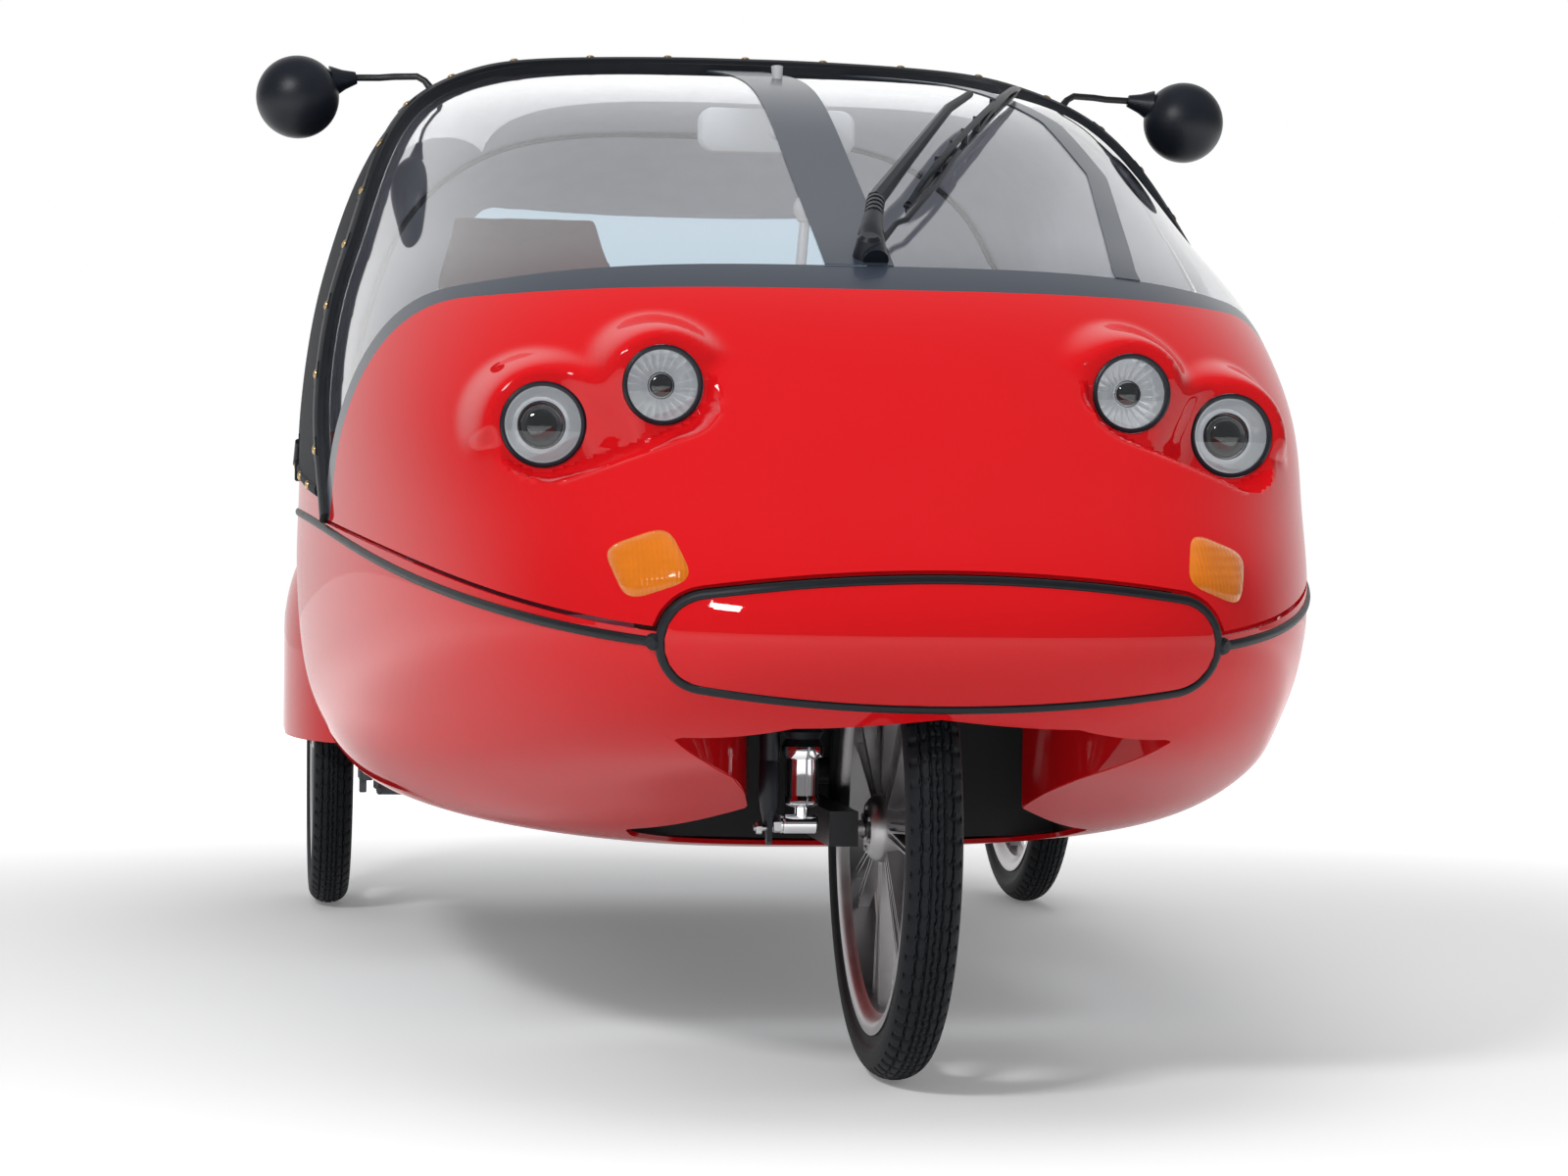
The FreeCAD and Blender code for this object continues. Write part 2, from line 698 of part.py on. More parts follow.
def build_wheel(prefix, x, y, spokes):
    """A tyre and a cast wheel on an axle along X."""
    z = S.wheel_radius
    tyre = body(prefix + "_tyre")
    half = S.tyre_width / 2
    top = S.wheel_radius
    bead = S.bead_radius
    revolve(tyre, prefix + "_tyre_ring", (
        (-20, bead), (20, bead), (24, bead + 8), (half, bead + 24), (half - 1, bead + 36),
        (half - 8, top - 6), (12, top), (-12, top), (8 - half, top - 6),
        (1 - half, bead + 36), (-half, bead + 24), (-24, bead + 8),
    ))
    place(tyre, x, y, z)

    wheel = body(prefix + "_wheel")
    rim_top = S.bead_radius - S.seat_gap
    rim_low = rim_top - S.rim_wall
    half = S.rim_half_width
    revolve(wheel, prefix + "_rim", (
        (-half, rim_top), (half, rim_top), (half, rim_low - 6), (half - 4, rim_low - 6),
        (half - 8, rim_low), (8, rim_low - 14), (-8, rim_low - 14),
        (8 - half, rim_low), (4 - half, rim_low - 6), (-half, rim_low - 6),
    ))
    hub_half = S.hub_half_width
    bore = S.axle_radius + S.axle_play
    revolve(wheel, prefix + "_hub", (
        (-hub_half, bore), (hub_half, bore), (hub_half, S.hub_radius - 8),
        (hub_half - 12, S.hub_radius), (12 - hub_half, S.hub_radius), (-hub_half, S.hub_radius - 8),
    ))
    drawing = sketch_on(wheel, prefix + "_spoke_profile", "YZ_Plane")
    half_spoke = S.spoke_width / 2
    outline(drawing, (
        (-half_spoke - 4, S.hub_radius - 4), (half_spoke + 4, S.hub_radius - 4),
        (half_spoke, rim_low - 10), (-half_spoke, rim_low - 10),
    ))
    spoke = wheel.newObject("PartDesign::Pad", prefix + "_spoke")
    spoke.Profile = drawing
    bind(spoke, "Length", S.spoke_depth)
    spoke.Midplane = True
    doc.recompute()
    pattern = wheel.newObject("PartDesign::PolarPattern", prefix + "_spokes")
    pattern.Originals = [spoke]
    pattern.Axis = (origin_plane(wheel, "X_Axis"), [""])
    pattern.Angle = 360
    pattern.Occurrences = spokes
    wheel.Tip = pattern
    wheel_at(wheel, x, y, z)


def build_wheels():
    """The three wheels."""
    build_wheel("front", 0, S.front_axle_y, 7)
    build_wheel("rear_left", S.rear_track_half, S.rear_axle_y, 5)
    build_wheel("rear_right", -S.rear_track_half, S.rear_axle_y, 5)


def build_steering():
    """The steered fork: stem, yoke plate, rear leg, swing arms, axle and damper."""
    axle_y = S.front_axle_y
    axle_z = S.wheel_radius
    axis_y = S.steer_axis_y
    inner_radius = S.yoke_inner_radius
    plate_z = axle_z + inner_radius
    wall = S.yoke_plate_wall
    stem = cylinder("stem_bar", S.stem_radius, S.stem_top_z - plate_z, 0, axis_y, plate_z)
    plate = box("yoke_plate", 187, 60, wall, -48.5, axis_y + 8, plate_z)
    band_width = Size.of(70)
    outer_ring = cylinder("yoke_band_outer", inner_radius + wall, band_width, -band_width / 2,
                          axle_y, axle_z, Y_AXIS, 90)
    inner_ring = cylinder("yoke_band_inner", inner_radius, band_width, -band_width / 2,
                          axle_y, axle_z, Y_AXIS, 90)
    ring = cut("yoke_ring", outer_ring, inner_ring)
    rear_half = box("yoke_rear_half", band_width, inner_radius + 40, inner_radius + 40, 0,
                    axle_y + (inner_radius + 40) / 2, S.swing_pivot_z)
    band = doc.addObject("Part::Common", "yoke_band")
    band.Base = ring
    band.Tool = rear_half
    pivot = cylinder("yoke_pivot", 16, band_width, -band_width / 2, S.swing_pivot_y, S.swing_pivot_z, Y_AXIS, 90)
    label(fuse("steering_yoke", [stem, plate, band, pivot]), "steering_yoke")

    arms = []
    inner = S.swing_arm_inner_x
    width = S.swing_arm_width
    height = S.swing_arm_height
    eye_start = band_width / 2 + S.seat_gap
    outer_x = inner + width
    eye_width = outer_x - eye_start
    pivot_y = S.swing_pivot_y
    for side, sign in LEFT_AND_RIGHT:
        x = sign * (inner + width / 2)
        arms.append(box("swing_bar_" + side, width, pivot_y - axle_y + 32, height, x,
                        (pivot_y + axle_y) / 2 - 2, axle_z - height / 2))
        arms.append(box("swing_riser_" + side, width, 28, S.swing_pivot_z - axle_z, x, pivot_y, axle_z))
        arms.append(cylinder("swing_eye_" + side, 14, eye_width, sign * (eye_start + eye_width / 2) - eye_width / 2,
                             pivot_y, S.swing_pivot_z, Y_AXIS, 90))
    cross = cylinder("swing_cross", 8, 2 * (inner + 10), -1 * (inner + 10), pivot_y, axle_z, Y_AXIS, 90)
    label(fuse("swing_arm", arms + [cross]), "swing_arm")

    axle_reach = inner - S.seat_gap
    label(cylinder("front_axle", S.axle_radius, 2 * axle_reach, -1 * axle_reach, axle_y, axle_z, Y_AXIS, 90),
          "front_axle")

    damper_x = S.damper_x
    foot_z = S.damper_foot_z
    eye = cylinder("damper_eye", 13, 40, damper_x - 16, axle_y, foot_z, Y_AXIS, 90)
    rod = cylinder("damper_rod", S.damper_radius, 96, damper_x, axle_y, foot_z + 8)
    cover = cylinder("damper_cover", S.damper_cover_radius, plate_z - foot_z - 90, damper_x, axle_y, foot_z + 90)
    label(fuse("damper", [eye, rod, cover]), "damper")
    guide = doc.addObject("Part::Cone", "guide_cone")
    bind(guide, "Radius1", 5)
    bind(guide, "Radius2", S.guide_radius)
    bind(guide, "Height", 110)
    place(guide, S.guide_x, axle_y, 240)
    upper = cylinder("guide_upper", S.guide_radius, plate_z - 350, S.guide_x, axle_y, 350)
    label(fuse("guide_leg", [guide, upper]), "guide_leg")


def build_mounts_in_nose():
    """The bearing that carries the stem, and the canopy's hinge."""
    axis_y = S.steer_axis_y
    top = S.wheel_radius + S.housing_radius + S.housing_wall + S.seat_gap
    tube = Part.makeCylinder(S.stem_radius.value + 12, 70, Vector(0, axis_y.value, top.value), Z_AXIS)
    plate = Part.makeBox(220, 90, 6, Vector(-110, axis_y.value - 45, top.value))
    bore = Part.makeCylinder(S.stem_radius.value + 0.5, 200, Vector(0, axis_y.value, top.value - 50), Z_AXIS)
    label(feature("stem_bearing", tube.fuse(plate).cut(bore)), "stem_bearing")

    pin = S.hinge_pin_radius.value
    hinge = Vector(0, S.hinge_y.value, S.hinge_z.value)
    arm_x = S.hinge_arm_x.value
    wall = S.hinge_arm_wall.value
    reach = S.hinge_arm_reach.value
    arms = []
    brackets = []
    housing = Part.makeCylinder(
        (S.housing_radius + S.housing_wall + S.seat_gap).value, 800,
        Vector(-400, S.front_axle_y.value, S.wheel_radius.value), X_AXIS
    )
    for side, sign in LEFT_AND_RIGHT:
        x = sign * arm_x - wall / 2
        arms.append(goose_neck(x, wall, hinge, reach).cut(
            Part.makeCylinder(pin + 0.1, 900, Vector(-450, hinge.y, hinge.z), X_AXIS)))
        for step in (-1, 1):
            ear_x = x + step * (wall + 1)
            ear = Part.makeBox(wall, 95, 24, Vector(ear_x, hinge.y, hinge.z - 16))
            nose_eye = Part.makeCylinder(S.hinge_boss_radius.value, wall, Vector(ear_x, hinge.y, hinge.z), X_AXIS)
            brackets.append(ear.cut(housing).fuse(nose_eye))
    pins = [
        Part.makeCylinder(pin, 3 * wall + 2, Vector(sign * arm_x - 1.5 * wall - 1, hinge.y, hinge.z), X_AXIS)
        for sign in (1, -1)
    ]
    label(feature("hinge_brackets", all_of(brackets + pins).common(shell(S.skin_wall.value + 0.3))),
          "hinge_brackets")
    label(feature("hinge_arms", all_of(arms).common(shell(S.skin_wall.value + 0.3))), "hinge_arms")


def goose_neck(x, wall, hinge, reach):
    """A canopy hinge arm: from its boss back along a line, then round an arc to the hood's inside."""
    half = wall * 0.31

    def at(radius, degrees):
        angle = math.radians(degrees)
        return Vector(x, hinge.y + radius * math.cos(angle), hinge.z + radius * math.sin(angle))

    inner, outer = reach - half, reach + half
    low_angle, high_angle = 28, 90
    foot = [at(0, 0) + Vector(0, -half * 0.55, half * 0.84), at(0, 0) + Vector(0, half * 0.55, -half * 0.84)]
    edges = [
        Part.makeLine(foot[0], at(inner, low_angle + 3)),
        Part.Arc(at(inner, low_angle + 3), at(inner, 60), at(inner, high_angle)).toShape(),
        Part.makeLine(at(inner, high_angle), at(outer, high_angle)),
        Part.Arc(at(outer, high_angle), at(outer, 60), at(outer, low_angle - 2)).toShape(),
        Part.makeLine(at(outer, low_angle - 2), foot[1]),
        Part.makeLine(foot[1], foot[0]),
    ]
    arm = Part.Face(Part.Wire(edges)).extrude(Vector(wall, 0, 0))
    boss = Part.makeCylinder(S.hinge_boss_radius.value, wall, hinge + Vector(x, 0, 0) , X_AXIS)
    return arm.fuse(boss)


def build_lamps():
    """Headlamp bowls and lenses, and the indicators."""
    for kind, x, y, z, radius in LAMPS:
        bowls = []
        lenses = []
        for side, sign in LEFT_AND_RIGHT:
            centre = Vector(sign * x.value, y.value, z.value)
            depth = POD_DEPTH - POD_WALL - LAMP_FIT - 12
            bowl = Part.makeCylinder(radius.value, depth, centre + Vector(0, 12, 0), Y_AXIS)
            hollow = Part.makeCone(radius.value - 4, radius.value * 0.35, depth * 0.7, centre + Vector(0, 12, 0), Y_AXIS)
            bowls.append(bowl.cut(hollow))
            sphere_radius = radius.value * 2.2
            dome = Part.makeSphere(sphere_radius, centre + Vector(0, sphere_radius - 4, 0))
            disc = Part.makeCylinder(radius.value, 14, centre + Vector(0, -4, 0), Y_AXIS)
            thin = Part.makeSphere(sphere_radius - 3, centre + Vector(0, sphere_radius - 4, 0))
            lens = disc.common(dome).cut(thin)
            rim_ring = Part.makeCylinder(radius.value, 6, centre + Vector(0, 5.7, 0), Y_AXIS)
            rim_hole = Part.makeCylinder(radius.value - 3, 20, centre + Vector(0, 0, 0), Y_AXIS)
            lenses.append(lens.fuse(rim_ring.cut(rim_hole)))
        label(feature(kind + "_lamp_bowls", all_of(bowls)), kind + "_lamp_bowls")
        label(feature(kind + "_lamp_lenses", all_of(lenses)), kind + "_lamp_lenses")
    pads = []
    for side, sign in LEFT_AND_RIGHT:
        block = Part.makeBox(70, 300, 62, Vector(sign * S.indicator_x.value - 35, -1400, S.indicator_z.value - 31))
        edges = [edge for edge in block.Edges if abs(edge.tangentAt(edge.FirstParameter).y) > 0.9]
        pads.append(block.makeFillet(16, edges))
    pads = all_of(pads)
    clear_of_ring = mouth_prism(S.mouth_ring_width.value + S.panel_gap.value)
    label(feature("indicators", shell(-7).common(pads).cut(shell(-0.3)).cut(clear_of_ring)), "indicators")


def build_mirrors():
    """Outside mirrors on rods from the arch, and the inside mirror."""
    rods = []
    heads = []
    radius = S.mirror_rod_radius.value
    for side, sign in LEFT_AND_RIGHT:
        foot = Vector(sign * S.mirror_foot_x.value, S.mirror_foot_y.value, S.mirror_foot_z.value)
        head = Vector(sign * S.mirror_x.value, S.mirror_y.value, S.mirror_z.value)
        knee = Vector(foot.x + sign * 22, foot.y, foot.z + 26)
        wrist = Vector(head.x - sign * (S.mirror_radius.value - 2), head.y, head.z + 8)
        previous = foot
        pieces = []
        for point in (knee, wrist):
            way = point - previous
            pieces.append(Part.makeCylinder(radius, way.Length, previous, way))
            pieces.append(Part.makeSphere(radius, point))
            previous = point
        rod = all_of(pieces)
        ball = Part.makeSphere(S.mirror_radius.value, head)
        back = Part.makeBox(200, 200, 200, Vector(head.x - 100, head.y + 14, head.z - 100))
        shell_head = ball.cut(back)
        rods.append(rod.cut(shell(-0.3)).cut(ball))
        heads.append(shell_head)
    label(feature("mirror_rods", all_of(rods)), "mirror_rods")
    label(feature("mirror_heads", all_of(heads)), "mirror_heads")
    inside = Part.makeBox(200, 14, 58, Vector(-100, 0, 0))
    edges = [edge for edge in inside.Edges if abs(edge.tangentAt(edge.FirstParameter).y) > 0.9]
    inside = inside.makeFillet(20, edges)
    inside.translate(Vector(0, -120, 1030))
    stalk = Part.makeCylinder(7, 120, Vector(0, -113, 1080), Z_AXIS).common(shell(S.screen_wall.value + 0.3))
    label(feature("inside_mirror", inside.fuse(stalk)), "inside_mirror")


def build_wiper():
    """Wiper: spindle, arm and blade standing on the screen."""
    points = ((25, 838, 14), (62, 905, 26), (118, 985, 26), (195, 1085, 18))
    path = []
    for x, z, off in points:
        path.append(Vector(x, nose_y(x, z) - off, z))
    pieces = []
    for start, end, radius in zip(path, path[1:], (7, 5, 5)):
        way = end - start
        pieces.append(Part.makeCylinder(radius, way.Length, start, way))
        pieces.append(Part.makeSphere(radius, end))
    base = Part.makeCylinder(9, 60, path[0] + Vector(0, -8, 0), Vector(0, 1, -0.4))
    label(feature("wiper", all_of(pieces + [base]).cut(shell(-0.3))), "wiper")


def build_cabin():
    """Floor, seats, hand lever and the heavy blocks under the seats."""
    inside = shell(S.skin_wall.value + S.seat_gap.value)
    floor = Part.makeBox(640, 1300, 6, Vector(-320, -560, 212)).common(inside)
    label(feature("cabin_floor", floor), "cabin_floor")
    label(box("battery_block", 560, 330, 118, 0, 255, 218.3), "battery_block")
    label(box("motor_block", 200, 190, 150, 0, 600, 218.3), "motor_block")
    for side, x in (("right", -225), ("left", 225)):
        label(box("seat_cushion_" + side, 400, 430, 90, x, 205, 337), "seat_cushion_" + side)
    upright = Placement(Vector(-225, 420.3, 345), Rotation(X_AXIS, -10))
    folded = Placement(Vector(225, 470, 425.6), Rotation(X_AXIS, 88))
    for side, where in (("right", upright), ("left", folded)):
        shape = seat_back().transformed(where.toMatrix(), True)
        label(feature("seat_back_" + side, shape), "seat_back_" + side)
    post = Part.makeCylinder(14, 390, Vector(0, -58, 205), Vector(0, -0.15, 1))
    post = post.cut(Part.makeBox(60, 60, 40, Vector(-30, -90, 178.3)))
    grip = Part.makeCylinder(17, 120, Vector(0, -117, 590), Vector(0, -0.15, 1))
    label(feature("steering_lever", post.fuse(grip)), "steering_lever")


def seat_back():
    """A seat's back, standing on the origin: wider below, with round corners."""
    wires = []
    for z, half, thick in ((0, 200, 80), (330, 190, 70), (560, 150, 55), (650, 110, 45)):
        wires.append(Part.makePolygon([
            Vector(-half, 0, z), Vector(half, 0, z), Vector(half, thick, z), Vector(-half, thick, z), Vector(-half, 0, z)
        ]))
    return Part.makeLoft(wires, True, True)


# Rear arms: place across, width, front end and the floor that they stand on
REAR_ARM_X = 290
REAR_ARM_WIDTH = 36
REAR_ARM_FRONT_Y = 560
FLOOR_TOP_Z = 218.3


def build_rear_end():
    """Rear axle with its arms, and the tail lamps."""
    axle_y = S.rear_axle_y.value
    axle_z = S.wheel_radius.value
    inner_x = S.rear_track_half.value - S.tyre_width.value / 2 - 14 - S.housing_wall.value - 1
    tube = Part.makeCylinder(22, 2 * inner_x, Vector(-inner_x, axle_y, axle_z), X_AXIS)
    case = Part.makeCylinder(80, 150, Vector(-75, axle_y, axle_z + 30), X_AXIS)
    label(feature("rear_axle", tube.fuse(case)), "rear_axle")
    arms = []
    for sign in (1, -1):
        x = sign * REAR_ARM_X - REAR_ARM_WIDTH / 2
        clamp = Part.makeCylinder(32, REAR_ARM_WIDTH, Vector(x, axle_y, axle_z), X_AXIS)
        bar = Part.makeBox(REAR_ARM_WIDTH, axle_y - REAR_ARM_FRONT_Y, 30, Vector(x, REAR_ARM_FRONT_Y, axle_z - 18))
        foot = Part.makeBox(REAR_ARM_WIDTH, 60, axle_z - FLOOR_TOP_Z - 10, Vector(x, REAR_ARM_FRONT_Y, FLOOR_TOP_Z))
        hole = Part.makeCylinder(22.2, REAR_ARM_WIDTH, Vector(x, axle_y, axle_z), X_AXIS)
        arms.append(clamp.fuse([bar, foot]).cut(hole))
    label(feature("rear_arms", all_of(arms)), "rear_arms")
    stubs = []
    for sign in (1, -1):
        start = sign * (inner_x + 0.3)
        end = sign * (S.rear_track_half.value + S.hub_half_width.value)
        stubs.append(Part.makeCylinder(S.axle_radius.value, abs(end - start), Vector(min(start, end), axle_y, axle_z), X_AXIS))
    label(feature("rear_stub_axles", all_of(stubs)), "rear_stub_axles")
    lamps = []
    for sign in (1, -1):
        block = Part.makeCylinder(38, 300, Vector(sign * 330, 1100, 690), Y_AXIS)
        lamps.append(block)
    label(feature("tail_lamps", shell(-3).common(all_of(lamps)).cut(shell(-0.3))), "tail_lamps")


def build_all():
    """Every sub-part."""
    build_skin()
    build_front_housing()
    build_rear_housings()
    build_wheels()
    build_steering()
    build_mounts_in_nose()
    build_lamps()
    build_mirrors()
    build_wiper()
    build_cabin()
    build_rear_end()


def check_and_write():
    """Stop if an object failed, then write each sub-part."""
    doc.recompute()
    for item in doc.Objects:
        if "Invalid" in item.State or "Error" in item.State:
            raise RuntimeError("object failed: " + item.Name)
    for item in SUBPARTS:
        if item.Shape.isNull() or not item.Shape.isValid():
            raise RuntimeError("bad shape: " + item.Label)
    os.makedirs("parts", exist_ok=True)
    for item in SUBPARTS:
        item.Shape.exportStep("parts/%s.step" % item.Label)


build_all()
check_and_write()
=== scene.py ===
"""Looks of a three-wheeled vehicle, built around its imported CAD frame. All lengths are metres."""
import math

import bpy
import numpy as np
from mathutils import Matrix, Vector


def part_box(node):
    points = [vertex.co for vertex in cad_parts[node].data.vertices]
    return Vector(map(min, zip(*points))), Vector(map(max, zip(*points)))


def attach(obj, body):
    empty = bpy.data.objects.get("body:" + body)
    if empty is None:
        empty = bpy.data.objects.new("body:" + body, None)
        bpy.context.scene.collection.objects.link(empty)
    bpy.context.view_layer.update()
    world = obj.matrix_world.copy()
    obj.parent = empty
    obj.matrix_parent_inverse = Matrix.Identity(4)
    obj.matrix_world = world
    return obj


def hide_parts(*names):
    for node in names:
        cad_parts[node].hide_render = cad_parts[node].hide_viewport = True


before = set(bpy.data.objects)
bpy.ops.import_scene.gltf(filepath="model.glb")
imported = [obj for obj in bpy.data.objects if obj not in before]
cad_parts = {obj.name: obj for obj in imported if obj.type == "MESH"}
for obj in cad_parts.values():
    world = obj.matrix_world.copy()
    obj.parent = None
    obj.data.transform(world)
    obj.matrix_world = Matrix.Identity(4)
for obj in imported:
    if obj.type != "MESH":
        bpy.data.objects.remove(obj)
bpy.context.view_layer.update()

# Camera, from the photograph's perspective
CAMERA_PLACE = (-0.680, -4.787, 0.568)
CAMERA_YAW = math.radians(8.48)
CAMERA_PITCH = math.radians(0.96)
CAMERA_ROLL = math.radians(0.73)
LENS_MM = 85.8

# Waterlines of the body: height, nose, half width, tail, fullness of the nose, widest place
WATERLINES = (
    (0.200, -0.560, 0.350, 0.900, 1.80, 0.100),
    (0.240, -0.850, 0.495, 1.060, 2.10, 0.100),
    (0.290, -1.010, 0.545, 1.125, 2.30, 0.100),
    (0.350, -1.205, 0.572, 1.190, 1.80, 0.100),
    (0.405, -1.290, 0.583, 1.240, 1.70, 0.100),
    (0.460, -1.325, 0.588, 1.280, 1.70, 0.100),
    (0.520, -1.297, 0.590, 1.310, 1.80, 0.100),
    (0.600, -1.195, 0.588, 1.325, 2.10, 0.100),
    (0.700, -1.060, 0.585, 1.315, 2.50, 0.100),
    (0.820, -0.880, 0.571, 1.268, 2.30, 0.100),
    (0.910, -0.695, 0.550, 1.205, 1.90, 0.100),
    (1.010, -0.480, 0.515, 1.090, 1.65, 0.100),
    (1.100, -0.262, 0.458, 0.905, 1.50, 0.130),
    (1.157, 0.010, 0.378, 0.700, 1.60, 0.220),
    (1.180, 0.165, 0.290, 0.520, 1.80, 0.255),
    (1.1900, 0.235, 0.110, 0.360, 1.80, 0.262),
    (1.1915, 0.260, 0.002, 0.264, 1.80, 0.262),
)
NOSE_SIDE_POWER = 3.4
TAIL_SIDE_POWER = 2.6
TAIL_LENGTH_POWER = 2.2
BOTTOM_RINGS = (0.02, 0.4, 0.7, 0.9, 0.97)
BOTTOM_MIDDLE_Y = 0.170

# Side-view lines on the body, each as (y, z) points
SEAM = ((-1.400, 0.451), (-1.263, 0.470), (-0.796, 0.532), (-0.330, 0.571), (0.400, 0.590), (1.400, 0.596))
TRIM = ((-1.400, 0.436), (-1.263, 0.455), (-0.796, 0.512), (-0.330, 0.560), (0.400, 0.579), (1.400, 0.585))
SCREEN_LOW = ((-1.000, 0.829), (-0.748, 0.812), (-0.603, 0.773), (-0.532, 0.702), (-0.449, 0.625),
              (-0.380, 0.545))
SCREEN_HIGH = ((-1.000, 0.886), (-0.697, 0.828), (-0.566, 0.785), (-0.490, 0.703), (-0.413, 0.637),
               (-0.344, 0.560))
BELT = ((-0.500, 0.590), (-0.340, 0.600), (0.400, 0.668), (1.400, 0.772))
ARCH_CENTRE = (0.785, 0.028)
ARCH_RADIUS = 1.2945
ARCH_WIDTH = 0.026
PANEL_GAP = 0.005
ARCH_SINK = 0.009
ARCH_SINK_REACH = 0.32
SKIN_WALL = 0.005
SCREEN_WALL = 0.004

# Oval mouth: half length, half height, end radius, centre height, width of its ring
MOUTH_HALF_LENGTH = 0.269
MOUTH_HALF_HEIGHT = 0.0585
MOUTH_END_RADIUS = 0.042
MOUTH_CENTRE_Z = 0.4555
MOUTH_RING_WIDTH = 0.008
PLATE_HOLES = ((0.100, 0.430), (-0.100, 0.430))
PLATE_HOLE_RADIUS = 0.003

# Plan of the front wheel's opening, left half from the lip to the rear
OPENING_PLAN = ((0.0, -1.264), (0.140, -1.243), (0.252, -1.182), (0.215, -1.140), (0.178, -1.085),
                (0.158, -1.025),
                (0.145, -0.960), (0.255, -0.800), (0.240, -0.735), (0.190, -0.690), (0.0, -0.672))
OPENING_TOP_Z = 0.440
WALL_FROM, WALL_TO = 2, 6

# Bulge over a rear wheel: middle, half length, half height, reach, inner side
FENDER_MIDDLE = (0.800, 0.370)
FENDER_HALF_LENGTH = 0.375
FENDER_HALF_HEIGHT = 0.215
FENDER_INNER_X = 0.400
FENDER_OUTER_X = 0.5965
FENDER_LOW_Z = 0.256
WHEEL_PLACE = (0.800, 0.258)
WELL_X = (0.457, 0.530)
WELL_RADIUS = 0.289

REAR_WINDOW_HALF_WIDTH = 0.330
REAR_WINDOW_Z = (0.850, 1.050)
REAR_WINDOW_CORNER = 0.045


# Curves and surfaces

def natural_cubic(knots, values, at):
    """Values at new places of the smooth curve through points, for each column."""
    knots = np.asarray(knots, float)
    values = np.asarray(values, float)
    if values.ndim == 1:
        return natural_cubic(knots, values[:, None], at)[:, 0]
    count = len(knots)
    gap = np.diff(knots)
    slope = np.diff(values, axis=0) / gap[:, None]
    matrix = np.eye(count)
    right = np.zeros_like(values)
    for i in range(1, count - 1):
        matrix[i, i - 1:i + 2] = (gap[i - 1], 2 * (gap[i - 1] + gap[i]), gap[i])
        right[i] = 6 * (slope[i] - slope[i - 1])
    bend = np.linalg.solve(matrix, right)
    cell = np.clip(np.searchsorted(knots, at) - 1, 0, count - 2)
    left = (np.asarray(at) - knots[cell])[:, None]
    rest = (knots[cell + 1] - np.asarray(at))[:, None]
    width = gap[cell][:, None]
    return (
        (bend[cell] * rest ** 3 + bend[cell + 1] * left ** 3) / (6 * width)
        + (values[cell] / width - bend[cell] * width / 6) * rest
        + (values[cell + 1] / width - bend[cell + 1] * width / 6) * left
    )


def side_line(points):
    """Height of a side-view line at any y."""
    ys, zs = np.array(points).T
    dense_y = np.linspace(ys[0], ys[-1], 400)
    dense_z = natural_cubic(ys, zs, dense_y)
    return lambda y: np.interp(y, dense_y, dense_z)


SEAM_Z, TRIM_Z, BELT_Z = side_line(SEAM), side_line(TRIM), side_line(BELT)
SCREEN_LOW_Z, SCREEN_HIGH_Z = side_line(SCREEN_LOW), side_line(SCREEN_HIGH)


def smooth_step(low, high, value):
    t = np.clip((value - low) / (high - low), 0, 1)
    return t * t * (3 - 2 * t)


def lamp_table():
    """Centre, front and radius of each headlamp on the left side, from its CAD lens."""
    lamps = []
    for kind in ("inner", "outer"):
        low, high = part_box(kind + "_lamp_lenses")
        radius = (high.z - low.z) / 2
        lamps.append({"kind": kind, "x": high.x - radius, "z": low.z + radius, "front": low.y,
                      "radius": radius})
    return lamps


LAMPS = lamp_table()
POD_FLAT = 0.010
POD_EDGE = 0.042
TRAY_FLAT = 0.006
TRAY_EDGE = 0.017


def half_outline(row):
    """Dense half of one waterline, from the nose to the tail on the +X side."""
    _, nose, half, tail, fullness, widest = row
    turn = np.linspace(0, math.pi / 2, 500)
    nose_x = half * np.sin(turn) ** (2 / NOSE_SIDE_POWER)
    nose_y = widest - (widest - nose) * np.cos(turn) ** (2 / fullness)
    tail_x = half * np.cos(turn) ** (2 / TAIL_SIDE_POWER)
    tail_y = widest + (tail - widest) * np.sin(turn) ** (2 / TAIL_LENGTH_POWER)
    x = np.concatenate([nose_x, tail_x[1:]])
    y = np.concatenate([nose_y, tail_y[1:]])
    return x, y


def column_places():
    """Shares of a half outline at which it is cut, close together at the nose."""
    share = np.linspace(0, 1, 2000)
    density = 1 + 3.2 * (1 - smooth_step(0.26, 0.34, share)) + 0.6 * smooth_step(0.8, 0.95, share)
    total = np.concatenate([[0], np.cumsum((density[1:] + density[:-1]) / 2)])
    return np.interp(np.linspace(0, 1, 190), total / total[-1], share)


def all_rows():
    """Waterlines filled in smoothly, close together where the lamps are."""
    rows = np.array(WATERLINES)
    shape = rows[:, :4] * (1, 1, 1, 0.5)
    knots = np.concatenate([[0], np.cumsum(np.sqrt(np.linalg.norm(np.diff(shape, axis=0), axis=1)))])
    dense = natural_cubic(knots, rows, np.linspace(0, knots[-1], 4000))
    step = np.linalg.norm(np.diff(dense[:, :3], axis=0), axis=1)
    density = 1 + 1.1 * smooth_step(0.55, 0.60, dense[1:, 0]) * (1 - smooth_step(0.80, 0.85, dense[1:, 0]))
    total = np.concatenate([[0], np.cumsum(step * density)])
    at = np.interp(np.linspace(0, total[-1], 250), total, np.arange(len(dense)))
    columns = [np.interp(at, np.arange(len(dense)), dense[:, k]) for k in range(6)]
    return np.array(columns).T


